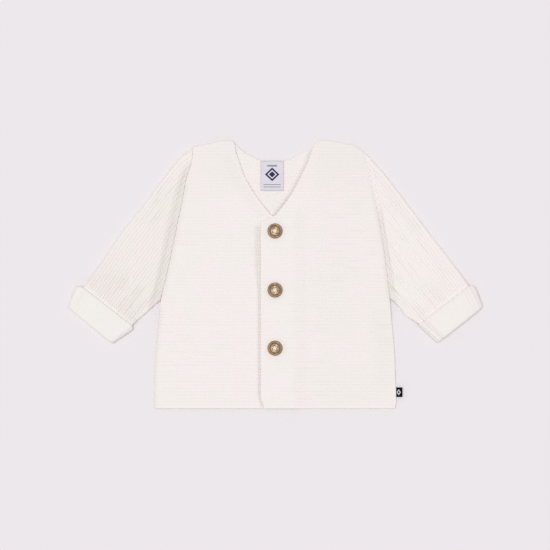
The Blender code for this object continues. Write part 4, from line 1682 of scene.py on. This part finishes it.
@dataclass(frozen=True)
class KnitFinish:
    """Matt cotton yarn with a faint drift of tint; painted shade darkens it between the ridges and by edges,
    grooves and valleys.
    """

    name: str = "ivory_cotton_knit"
    crest: Colour = (246, 240, 238)
    # valley: the colour of full painted shade
    valley: Colour = (218, 212, 205)
    pink: Colour = (249, 237, 236)
    cream: Colour = (244, 239, 234)
    roughness: float = 0.92
    tint_scale: float = 24.0
    mottle_scale: float = 420.0
    mottle: Span = (0.8, 1.0)
    strand_height: float = 0.26 * MM
    arc_swing: float = 0.16
    arc_apart: float = 0.26
    arc_width: float = 0.17
    arc_lean: float = 0.42
    arc_weight: float = 0.58
    plies: float = 5.0
    ply_slant: float = 3.0
    ply_height: float = 0.06
    fuzz_height: float = 0.5

    def make(self) -> Material:
        """Makes the material.

        Returns:
            The material.
        """
        shader = Shader(self.name, Roughness=self.roughness, Specular_IOR_Level=0.2, Sheen_Weight=0.12)
        spot = shader.place()
        drifting = shader.between(shader.noise(spot, self.tint_scale), 0.38, 0.62)
        tint = shader.blend(drifting, self.pink, self.cream)
        mottle = shader.between(shader.noise(spot, self.mottle_scale), 0.3, 0.8, *self.mottle)
        # The mesh's painted shade mixes the colour towards the valley colour.
        shade = shader.attribute("shade", "Fac") * mottle
        colour = shader.blend(shade, shader.blend(0.5, self.crest, tint), self.valley)
        return shader.finish(colour, self.strands(shader), self.strand_height, 0.8)

    def strands(self, shader: Shader) -> Value:
        """The yarn's height over the cloth: two rows of interlocked arcs on every ridge.

        Args:
            shader: the material.

        Returns:
            The height, from 0 to about 1.
        """
        knit = shader.attribute("knit", "Vector")
        stitch, ridge, _ = shader.split(knit)
        wave = shader.math("COSINE", stitch * math.tau)
        place = shader.math("FRACT", ridge) + wave * self.arc_swing
        rows = []
        for side in (1, -1):
            off = (place - (0.5 + side * self.arc_apart / 2)) / self.arc_width
            arc = shader.math("SUBTRACT", 1.0, abs(off) ** 2) | 0.0
            rows.append(arc * (wave * (-side * self.arc_lean) + self.arc_weight))
        ply = shader.math("SINE", (stitch * self.plies + ridge * self.ply_slant) * math.tau)
        fuzz = shader.grain(knit, (7.0, 7.0, 1.0), 3.0)
        return (rows[0] | rows[1]) + (ply * self.ply_height + fuzz * self.fuzz_height)


# The cuffs' knit: smoother than the body's, and with a darker crest, which is painted shade on the cuffs.
SHADED_CUFF_KNIT = KnitFinish(
    "ivory_cotton_cuffs_shaded",
    crest=(243, 239, 236),
    pink=(245, 234, 233),
    cream=(241, 238, 232),
    strand_height=0.16 * MM,
)
# The sleeves' knit has a lighter crest than the body's, which is painted light on the sleeves.
LIT_SLEEVE_KNIT = KnitFinish(
    "ivory_cotton_sleeves_lit", crest=(250, 244, 242), pink=(253, 241, 240), cream=(249, 243, 238)
)


@dataclass(frozen=True)
class WoodFinish:
    """Turned wood: brown at the rim, paler in the dish, with fine grain; darker in the groove and on the
    outer wall, which is painted shade, and round the holes, which is painted shade and grime.
    """

    name: str = "brown_button_wood"
    # The groove colour is painted shade; the edge colour is painted shade on the outer wall, and the dark of
    # the grain; the pit colour is painted shade and grime round the holes.
    edge: Colour = (122, 94, 66)
    rim: Colour = (186, 146, 104)
    groove: Colour = (122, 90, 60)
    dish: Colour = (232, 191, 147)
    pit: Colour = (58, 38, 22)
    roughness: float = 0.42
    groove_from: Span = (3.4 * MM, 4.5 * MM)
    rim_from: Span = (4.7 * MM, 5.6 * MM)
    edge_from: Span = (6.3 * MM, 7.4 * MM)
    pit_radii: Span = (0.8 * MM, 1.3 * MM)
    hole_radius: float = 2.45 * MM

    def make(self) -> Material:
        """Makes the material.

        Returns:
            The material.
        """
        shader = Shader(self.name, Roughness=self.roughness, Coat_Weight=0.15, Coat_Roughness=0.3)
        spot = shader.place()
        x, y, _ = shader.split(spot)
        radius = shader.math("SQRT", x**2 + y**2)
        # Painted shade: darker in the groove and on the outer wall.
        base = shader.blend(shader.between(radius, *self.groove_from), self.dish, self.groove)
        base = shader.blend(shader.between(radius, *self.rim_from), base, self.rim)
        base = shader.blend(shader.between(radius, *self.edge_from), base, self.edge)
        grain = shader.grain(spot, (900.0, 140.0, 140.0), 4.0)
        clouds = shader.grain(spot, (300.0, 230.0, 230.0))
        dark = shader.between(grain, 0.42, 0.75, 0.0, 0.3) + shader.between(clouds, 0.4, 0.6, 0.0, 0.7)
        base = shader.blend(dark, base, self.edge)
        # Painted shade and grime round the holes.
        return shader.finish(shader.blend(self.pits(shader, x, y), base, self.pit), grain, 0.05 * MM, 0.5)

    def pits(self, shader: Shader, x: Value, y: Value) -> Value:
        """Where the painted shade and grime round the four holes lie.

        Args:
            shader: the material.
            x: X from the button's middle.
            y: Y from there.

        Returns:
            1 in and round the holes, and 0 elsewhere.
        """
        reaches = [(abs(out) - self.hole_radius) ** 2 + aside**2 for out, aside in ((x, y), (y, x))]
        near = shader.math("SQRT", shader.math("MINIMUM", *reaches))
        return shader.between(near, *self.pit_radii, 1.0, 0.0)


@dataclass(frozen=True)
class YarnFinish:
    """Plied yarn, which the buttons and the label are sewn with."""

    name: str
    tone: Colour
    dark: Colour
    roughness: float = 0.7

    def make(self) -> Material:
        """Makes the material.

        Returns:
            The material.
        """
        shader = Shader(self.name, Roughness=self.roughness, Sheen_Weight=0.1)
        grain = shader.noise(shader.place(), 2600.0)
        colour = shader.blend(shader.between(grain, 0.45, 0.7, 0.0, 0.6), self.tone, self.dark)
        return shader.finish(colour, grain, 0.06 * MM, 0.7)


@dataclass(frozen=True)
class LabelFinish:
    """A woven label: a pale field with a plain lozenge and rules in a dark thread, and painted shade along
    its stitched border.
    """

    name: str = "lilac_woven_label"
    ground: Colour = (233, 228, 235)
    weft: Colour = (217, 212, 220)
    # border: the colour of the painted shade along the stitched border
    border: Colour = (186, 180, 194)
    figure: Colour = (22, 18, 84)
    roughness: float = 0.6
    lozenge_y: float = 1.4 * MM
    lozenge_half: Span = (7.2 * MM, 6.8 * MM)
    ring: Span = (0.84, 0.17)
    heart: float = 0.46
    rules: Sequence[Spot] = (
        (-8.8 * MM, 0.4 * MM, 8.6 * MM),
        (-11.2 * MM, 0.4 * MM, 8.6 * MM),
        (10.0 * MM, 0.85 * MM, 5.0 * MM),
    )
    rib_pitch: float = 0.55 * MM
    warp_pitch: float = 0.42 * MM

    def make(self) -> Material:
        """Makes the material. The label's own middle is at the origin of its coordinates.

        Returns:
            The material.
        """
        shader = Shader(self.name, Roughness=self.roughness, Specular_IOR_Level=0.12)
        spot = shader.place()
        x, y, _ = shader.split(spot)
        wide = abs(x)
        lozenge = wide / self.lozenge_half[0] + abs(y - self.lozenge_y) / self.lozenge_half[1]
        middle, half = self.ring
        figure = (abs(lozenge - middle) < half) | (lozenge < self.heart)
        for middle, half, reach in self.rules:
            figure = figure | (abs(y - middle) < half) * (wide < reach) * 0.6
        ribs = shader.math("SINE", y * (math.tau / self.rib_pitch))
        weave = ribs * shader.math("SINE", x * (math.tau / self.warp_pitch))
        ground = shader.blend(shader.between(weave, -0.6, 0.8), self.weft, self.ground)
        soiled = shader.between(shader.noise(spot, 160.0), 0.35, 0.75, 0.0, 0.6)
        # Painted shade along the stitched border: darker towards the label's sides and ends.
        to_side = shader.between(wide, 10.2 * MM, 11.3 * MM, 0.0, 0.2)
        to_end = shader.between(abs(y), 13.3 * MM, 14.4 * MM, 0.0, 0.35)
        ground = shader.blend(soiled, ground, self.weft)
        ground = shader.blend(to_side | to_end, ground, self.border)
        broken = figure * shader.between(weave, -1.0, 0.3, 0.92, 1.0)
        return shader.finish(shader.blend(broken, ground, self.figure), weave, 0.05 * MM, 0.6)


@dataclass(frozen=True)
class TagFinish:
    """A narrow woven ribbon with a small pale lozenge."""

    name: str = "navy_woven_ribbon"
    ground: Colour = (6, 7, 14)
    rib: Colour = (16, 17, 28)
    figure: Colour = (226, 222, 232)
    roughness: float = 0.75
    lozenge_x: float = -1.5 * MM
    lozenge_half: Span = (2.1 * MM, 3.0 * MM)
    ring: Span = (0.76, 0.24)
    rib_pitch: float = 0.5 * MM

    def make(self) -> Material:
        """Makes the material. The ribbon's own middle is at the origin of its coordinates.

        Returns:
            The material.
        """
        shader = Shader(self.name, Roughness=self.roughness, Specular_IOR_Level=0.1)
        x, y, _ = shader.split(shader.place())
        lozenge = abs(x - self.lozenge_x) / self.lozenge_half[0] + abs(y) / self.lozenge_half[1]
        middle, half = self.ring
        figure = abs(lozenge - middle) < half
        ribs = shader.math("SINE", x * (math.tau / self.rib_pitch))
        ground = shader.blend(shader.between(ribs, -0.5, 1.0), self.ground, self.rib)
        return shader.finish(shader.blend(figure * 0.9, ground, self.figure), ribs, 0.05 * MM, 0.6)


@dataclass(frozen=True)
class SurfaceFinish:
    """The plain pale surface that the cardigan lies on."""

    name: str = "pale_surface"
    tone: Colour = (234, 229, 232)
    darker: Colour = (233.69, 228.7, 231.69)
    roughness: float = 0.95

    def make(self) -> Material:
        """Makes the material.

        Returns:
            The material.
        """
        shader = Shader(self.name, Roughness=self.roughness, Specular_IOR_Level=0.0)
        clouds = shader.between(shader.noise(shader.place(), 6.0, 1.0), 0.3, 0.7)
        return shader.finish(shader.blend(clouds, self.tone, self.darker))


# Buttons, label and tag


def tubes_object(name: str, paths: Sequence[Array], radius: float, sides: int, material: Material) -> Object:
    """One object of many round-ended tubes.

    Args:
        name: its name.
        paths: the points down the middle of each tube.
        radius: their radius.
        sides: how many sides each has.
        material: their material.

    Returns:
        The new object.
    """
    points, faces, start = [], [], 0
    turns = (np.arange(sides) * math.tau / sides)[None, :, None]
    for path in paths:
        run = np.gradient(path, axis=0)
        run /= np.linalg.norm(run, axis=1)[:, None]
        aside = np.cross(run, [0.0, 0.0, 1.0])
        size = np.linalg.norm(aside, axis=1)[:, None]
        aside = np.where(size > 1e-6, aside / np.maximum(size, 1e-9), [1.0, 0.0, 0.0])
        around = np.cos(turns) * aside[:, None] + np.sin(turns) * np.cross(aside, run)[:, None]
        swell = np.ones((len(path), 1, 1))
        swell[[0, -1]] = 0.55
        points.append((path[:, None] + around * radius * swell).reshape(-1, 3))
        rings = np.arange(start, start + len(path) * sides).reshape(-1, sides)
        beside = np.roll(rings, -1, axis=1)
        quads = np.stack([rings[:-1], rings[1:], beside[1:], beside[:-1]], axis=-1)
        faces += [*quads.reshape(-1, 4).tolist(), rings[0].tolist(), rings[-1, ::-1].tolist()]
        start += len(path) * sides
    return place(name, mesh_of(name, np.concatenate(points), faces), material)


def border_of(grid: Array) -> Array:
    """The indices round a grid's border, anticlockwise."""
    return np.concatenate([grid[0], grid[1:, -1], grid[-1, -2::-1], grid[-2:0:-1, 0]])


BUTTON_SECTION = (  # radius and level in mm, from the middle of the top to the underside
    (0.0, 1.86), (1.2, 1.88), (2.6, 1.95), (3.6, 2.1), (4.1, 2.16), (4.35, 2.05), (4.6, 1.98),
    (4.85, 2.12), (5.15, 2.6), (5.5, 2.98), (6.0, 3.24), (6.5, 3.3), (6.9, 3.18), (7.25, 2.8),
    (7.43, 2.3), (7.5, 1.7), (7.42, 1.2), (7.1, 0.7), (6.6, 0.35), (5.6, 0.06), (4.0, 0.0),
    (0.0, 0.0),
)


@dataclass
class Button:
    """A turned four-hole button, sewn on with cream thread."""

    node: str
    turn: float
    wood: Material
    thread: Material
    strands: Sequence[tuple[int, int]] = ((0, 2), (1, 3))
    sides: int = 72
    hole_circle: float = 4.9 * MM
    hole: float = 1.5 * MM
    flare: Span = (0.86, 0.46)
    thread_radius: float = 0.31 * MM
    strand_offset: float = 0.8
    thread_levels: Sequence[float] = (0.25 * MM, 1.5 * MM, 1.9 * MM, 2.4 * MM)

    def disc(self) -> Object:
        """The turned disc, before its holes are cut.

        Returns:
            The new object.
        """
        radius, level = (np.array(BUTTON_SECTION) * MM).T[..., None]
        turns = np.arange(self.sides) * math.tau / self.sides
        x, y, z = np.broadcast_arrays(radius * np.cos(turns), radius * np.sin(turns), level)
        points = np.stack([x, y, z], axis=-1).reshape(-1, 3)[self.sides - 1 : 1 - self.sides]
        rows = np.arange(1, len(points) - 1).reshape(-1, self.sides)
        faces = []
        for k in range(self.sides):
            here, beside = rows[:, k].tolist(), rows[:, (k + 1) % self.sides].tolist()
            faces.append((0, here[0], beside[0]))
            faces += zip(here[:-1], here[1:], beside[1:], beside[:-1])
            faces.append((here[-1], len(points) - 1, beside[-1]))
        name = self.node + "_disc"
        return place(name, mesh_of(name, points, faces), self.wood)

    def hole_spot(self, quarter: int, level: float) -> Array:
        """A point on a hole's middle line, in the button's own coordinates."""
        turn, half = math.radians(90 * quarter), self.hole_circle / 2
        return np.array([half * math.cos(turn), half * math.sin(turn), level])

    def holes(self) -> Object:
        """The pins that cut the holes, with a countersink at the top.

        Returns:
            The new object.
        """
        shape = bmesh.new()
        straight, (top, bottom) = self.hole / 2, (self.hole * share for share in self.flare)
        cones = ((straight, straight, 8 * MM, 1.0 * MM), (bottom, top, 0.7 * MM, 2.05 * MM))
        for quarter in range(4):
            for low, high, depth, level in cones:
                made = bmesh.ops.create_cone(
                    shape, cap_ends=True, segments=20, radius1=low, radius2=high, depth=depth
                )
                bmesh.ops.translate(shape, verts=made["verts"], vec=tuple(self.hole_spot(quarter, level)))
        mesh = bpy.data.meshes.new(self.node + "_pins")
        shape.to_mesh(mesh)
        shape.free()
        return place(mesh.name, mesh, self.wood)

    def sewing(self) -> Object:
        """The thread: two strands side by side between each pair of holes, and down through them.

        Returns:
            The new object.
        """
        bottom, throat, lip, crown = self.thread_levels
        paths = []
        for layer, (first, second) in enumerate(self.strands):
            start, end = self.hole_spot(first, 0.0), self.hole_spot(second, 0.0)
            run = (end - start) / np.linalg.norm(end - start)
            rise = crown + layer * 1.3 * self.thread_radius - lip
            for offset in (-self.strand_offset, self.strand_offset):
                shift = np.array([-run[1], run[0], 0.0]) * offset * self.thread_radius
                shares = np.array([0, 0, *np.linspace(0.06, 0.94, 9), 1, 1])
                path = mix(start, end, shares[:, None]) + shift
                path[:, 2] = lip + rise * np.sin(shares * math.pi) ** 0.5
                path[[0, 1, -2, -1], 2] = bottom, throat, throat, bottom
                curve = Curve(np.linspace(0, 1, len(path)), path)
                paths.append(curve(np.linspace(0, 1, 31)))
        return tubes_object(self.node + "_thread", paths, self.thread_radius, 8, self.thread)

    def build(self) -> list[Object]:
        """Makes the button and its thread, where the node is.

        Returns:
            The two objects.
        """
        disc, pins = self.disc(), self.holes()
        cut = disc.modifiers.new("holes", "BOOLEAN")
        cut.operation = "DIFFERENCE"
        cut.object = pins
        cut.use_self = True
        bpy.context.view_layer.update()
        graph = bpy.context.evaluated_depsgraph_get()
        mesh = bpy.data.meshes.new_from_object(disc.evaluated_get(graph))
        disc.modifiers.clear()
        disc.data = mesh
        bpy.data.objects.remove(pins)
        mesh.materials.clear()
        mesh.materials.append(self.wood)
        mesh.shade_smooth()
        mesh.set_sharp_from_angle(angle=math.radians(50))
        low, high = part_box(self.node)
        objects = [disc, self.sewing()]
        for obj in objects:
            obj.location = ((low.x + high.x) / 2, (low.y + high.y) / 2, low.z)
            obj.rotation_euler.z = math.radians(self.turn)
        return objects


@dataclass
class NeckLabel:
    """The woven label inside the back neck, with its stitched border."""

    node: str
    material: Material
    thread: Material
    cells: tuple[int, int] = (46, 60)
    stitch_pitch: float = 2.0 * MM
    border: float = 1.0 * MM
    pillow: float = 0.12 * MM
    dent: float = 0.08 * MM
    wave: float = 0.05 * MM

    def build(self) -> list[Object]:
        """Makes the label and its stitching, where the node is.

        Returns:
            The two objects.
        """
        low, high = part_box(self.node)
        half = (high - low) / 2
        x, y = (np.linspace(-reach, reach, cells + 1) for reach, cells in zip(half, self.cells))
        x, y = np.meshgrid(x, y)
        edge = np.minimum(half.x - np.abs(x), half.y - np.abs(y))
        pillow = self.pillow * ease(edge, 0.5 * MM) - self.dent * bell(edge - self.border, 0.35 * MM)
        wave = self.wave * np.sin(x / (4 * MM)) * np.sin(y / (6 * MM))
        cloth = ClothMesh()
        upper = cloth.add(np.stack([x, y, half.z - self.pillow + pillow + wave], axis=-1))
        lower = cloth.add(np.stack([x, y, np.full_like(x, -half.z)], axis=-1))
        for j in range(len(upper) - 1):
            cloth.strip(upper[j], upper[j + 1])
            cloth.strip(lower[j], lower[j + 1], flip=True)
        cloth.strip(border_of(lower), border_of(upper), closed=True)
        objects = [cloth.make("woven_neck_label", self.material), self.stitching(*half)]
        for obj in objects:
            obj.location = (low + high) / 2
        return objects

    def stitching(self, half_x: float, half_y: float, level: float) -> Object:
        """A line of short stitches round the label, just inside its edge.

        Args:
            half_x: half the label's width.
            half_y: half its length.
            level: the level of its upper surface.

        Returns:
            The new object.
        """
        out = np.array([half_x, half_y, 0.0]) - [self.border, self.border, 0.0]
        corners = [out * turn for turn in ([-1, -1, 0], [1, -1, 0], [1, 1, 0], [-1, 1, 0])]
        paths = []
        for start, end in zip(corners, corners[1:] + corners[:1]):
            count = round(float(np.linalg.norm(end - start)) / self.stitch_pitch)
            for i in range(count):
                path = mix(start, end, ((i + np.linspace(0.12, 0.88, 5)) / count)[:, None])
                path[:, 2] = level - 0.16 * MM + np.sin(np.linspace(0, math.pi, 5)) * 0.14 * MM
                paths.append(path)
        return tubes_object("neck_label_stitching", paths, 0.2 * MM, 6, self.thread)


@dataclass
class SideTag:
    """The folded ribbon that stands out of the left side seam."""

    node: str
    material: Material
    layer: float = 0.42 * MM
    tucked: float = 1.8 * MM
    drawn_in: float = 0.3 * MM
    straight_steps: int = 8
    rows: int = 17

    def build(self) -> Object:
        """Makes the ribbon, folded at its outer end, where the node is.

        Returns:
            The new object.
        """
        low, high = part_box(self.node)
        half = (high - low) / 2
        radius = half.z - self.layer / 2
        bend = half.x - radius - self.layer / 2 - self.drawn_in
        straight = np.linspace(-half.x - self.tucked, bend, self.straight_steps + 1)[:-1]
        turns = np.linspace(math.pi / 2, -math.pi / 2, 13)
        x = np.concatenate([straight, bend + radius * np.cos(turns), straight[::-1]])
        z = np.concatenate([straight * 0 + radius, radius * np.sin(turns), straight * 0 - radius])
        path = np.stack([x, z], axis=1)
        normals = inset_line(path, self.layer / 2) - path
        cloth = ClothMesh()
        rings = []
        for y in np.linspace(-half.y, half.y, self.rows):
            swell = 1 - 0.3 * bell(half.y - abs(y), 0.35 * MM)
            outline = np.concatenate([path + normals * swell, (path - normals * swell)[::-1]])
            rings.append(cloth.add(np.insert(outline, 1, y, axis=1)))
        for first, second in zip(rings[:-1], rings[1:]):
            cloth.strip(first, second, closed=True)
        for ring, flip in ((rings[0], False), (rings[-1], True)):
            cloth.strip(ring[: len(path)], ring[: len(path) - 1 : -1], flip=flip)
        tag = cloth.make("folded_side_tag", self.material)
        tag.location = (low + high) / 2
        return tag


# The studio


@dataclass
class Studio:
    """The pale surface, the soft light and the camera, which looks straight down."""

    shown_width: float = 550 * MM
    middle: Span = (-0.7 * MM, -0.95 * MM)
    garment_level: float = 4.5 * MM
    camera_height: float = 3.0
    sensor: float = 36.0
    surface_size: float = 30.0
    surface_cells: int = 8
    surface_level: float = -0.05 * MM
    sky: float = 0.46
    sun: float = 1.8
    sun_spread: float = 22.0
    sun_tilt: Span = (-2.5, -5.0)

    def build(self) -> None:
        """Makes all of it."""
        marks = np.linspace(-self.surface_size / 2, self.surface_size / 2, self.surface_cells + 1)
        across = len(marks)
        points = [(x, y, 0.0) for y in marks for x in marks]
        corners = [j * across + i for j in range(across - 1) for i in range(across - 1)]
        faces = [(corner, corner + 1, corner + across + 1, corner + across) for corner in corners]
        surface = place("surface", mesh_of("surface", points, faces), SurfaceFinish().make())
        surface.location.z = self.surface_level
        self.light()
        self.camera()

    def light(self) -> None:
        """A bright even sky, and a wide soft sun from the upper left."""
        scene = bpy.context.scene
        scene.world = bpy.data.worlds.new("studio")
        scene.world.use_nodes = True
        background = scene.world.node_tree.nodes["Background"]
        background.inputs["Color"].default_value = (1.0, 1.0, 1.0, 1.0)
        background.inputs["Strength"].default_value = self.sky
        lamp = bpy.data.lights.new("soft_sun", "SUN")
        lamp.energy = self.sun
        lamp.angle = math.radians(self.sun_spread)
        sun = bpy.data.objects.new("soft_sun", lamp)
        sun.rotation_euler = (*np.radians(self.sun_tilt), 0.0)
        sun.location = (-1.0, 1.0, 2.0)
        scene.collection.objects.link(sun)
        scene.view_settings.view_transform = "Standard"

    def camera(self) -> None:
        """The camera, straight above."""
        data = bpy.data.cameras.new("camera")
        data.sensor_width = self.sensor
        data.lens = self.sensor * (self.camera_height - self.garment_level) / self.shown_width
        data.clip_end = 100.0
        camera = bpy.data.objects.new("camera", data)
        camera.location = (*self.middle, self.camera_height)
        bpy.context.scene.collection.objects.link(camera)
        bpy.context.scene.camera = camera


# The cardigan


class Cut(NamedTuple):
    """The flat cut of a piece of cloth: its width and length, and its area where that is less."""

    width: float
    length: float
    area: float | None = None


BACK_CUT = Cut(0.2415, 0.2693, 0.0577)
RIGHT_FRONT_CUT = Cut(0.1343, 0.2685, 0.0302)
LEFT_FRONT_CUT = Cut(0.1368, 0.2693, 0.0311)
CUFF_CUT = Cut(0.1230, 0.0340)


@dataclass
class Cardigan:
    """The whole garment: builds each piece and says what it stands for in the frame."""

    knit: Material
    # The cuffs' knit has painted shade in its darker crest.
    shaded_cuffs: Material
    # The sleeves' knit has painted light in its lighter crest.
    lit_sleeves: Material

    def take(self, obj: Object, slot: str, *nodes: str) -> Object:
        """Lets a piece ride on the body, in place of the nodes it stands for.

        Args:
            obj: the piece.
            slot: its slot. Not used.
            nodes: the nodes.

        Returns:
            The piece.
        """
        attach(obj, BODY)
        if nodes:
            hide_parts(*nodes)
        triangles = sum(len(face.vertices) - 2 for face in obj.data.polygons)
        LOG.info("%s: %d triangles", obj.name, triangles)
        return obj

    def cloth(
        self, obj: Object, node: str, cut: Cut, rests_on: Sequence[str] = (), with_pieces: Sequence = ()
    ) -> None:
        """Lets a piece of knit ride on the body in place of the node it stands for.

        Args:
            obj: the piece.
            node: the node it stands for.
            cut: its flat cut. Not used.
            rests_on: the names of what it rests on. Not used.
            with_pieces: the small pieces that are part of it. Not used.
        """
        self.take(obj, KNIT_SLOT, node)

    def build_body(self) -> None:
        """The back, the two fronts, and the tag in their left seam."""
        back = BackPanel("knitted_back", self.knit, stitch=INSIDE_STITCH)
        right = FrontPanel("knitted_right_front", self.knit, side=Side.RIGHT)
        left = FrontPanel("knitted_left_front", self.knit, side=Side.LEFT, stitch=GarterStitch(seed=10))
        self.cloth(back.build(), "back", BACK_CUT)
        self.cloth(right.build(), "front_under", RIGHT_FRONT_CUT, [back.name])
        tag = self.take(SideTag("side_tag", TagFinish().make()).build(), "navy_tag", "side_tag")
        self.cloth(left.build(), "front_over", LEFT_FRONT_CUT, [right.name], [tag])

    def build_sleeves(self) -> None:
        """The sleeves and their cuffs."""
        right = SleeveForm(Side.RIGHT, RIGHT_SLEEVE, RIGHT_CUFF, (6 * MM, 17 * MM), 0.0, filled=(0.5, 0.5))
        left = SleeveForm(Side.LEFT, LEFT_SLEEVE, LEFT_CUFF, (7 * MM, 13 * MM), 1.8 * MM, filled=(1.0, 0.35))
        right_sleeve = SleevePiece("knitted_right_sleeve", right, self.lit_sleeves, creases=RIGHT_CREASES)
        left_sleeve = SleevePiece(
            "knitted_left_sleeve",
            left,
            self.lit_sleeves,
            LEFT_SLEEVE_STITCH,
            overlap=1.9 * MM,
            valley_shade=0.34,
            valley_widths=(5.0 * MM, 6.0 * MM),
            valley_fade=5.0 * MM,
            shoulder_shown=0.0,
            creases=LEFT_CREASES,
        )
        right_cuff = CuffPiece(
            "turned_right_cuff", right, self.shaded_cuffs, edge_dim=0.05, edge_relief=0.5, folds=RIGHT_CUFF_FOLDS
        )
        left_cuff = CuffPiece("turned_left_cuff", left, self.shaded_cuffs, folds=LEFT_CUFF_FOLDS)
        for sleeve, cuff in ((right_sleeve, right_cuff), (left_sleeve, left_cuff)):
            side = sleeve.form.side.value
            self.cloth(sleeve.build(), f"sleeve_{side}", Cut(*sleeve.form.cut(sleeve.tuck)), ["surface"])
            self.cloth(cuff.build(), f"cuff_{side}", CUFF_CUT, [sleeve.name])

    def build_trims(self) -> None:
        """The buttons and the label."""
        wood = WoodFinish().make()
        cream = YarnFinish("cream_button_thread", (252, 242, 226), (226, 208, 182)).make()
        pale = YarnFinish("pale_label_thread", (226, 224, 236), (196, 194, 212)).make()
        for node, turn in (("button_top", 31.0), ("button_middle", 58.0), ("button_bottom", 26.0)):
            disc, thread = Button(node, turn, wood, cream).build()
            self.take(disc, "brown_button", node)
            self.take(thread, "brown_button")
        label, stitching = NeckLabel("neck_label", LabelFinish().make(), pale).build()
        self.take(label, "lilac_label", "neck_label")
        self.take(stitching, "lilac_label")


def main() -> None:
    """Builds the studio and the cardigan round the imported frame."""
    logging.basicConfig(level=logging.INFO, format="%(name)s: %(message)s")
    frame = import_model()
    LOG.info("the frame has %d nodes", len(frame["nodes"]))
    Studio().build()
    cardigan = Cardigan(KnitFinish().make(), SHADED_CUFF_KNIT.make(), LIT_SLEEVE_KNIT.make())
    cardigan.build_body()
    cardigan.build_sleeves()
    cardigan.build_trims()


if __name__ == "__main__":
    main()
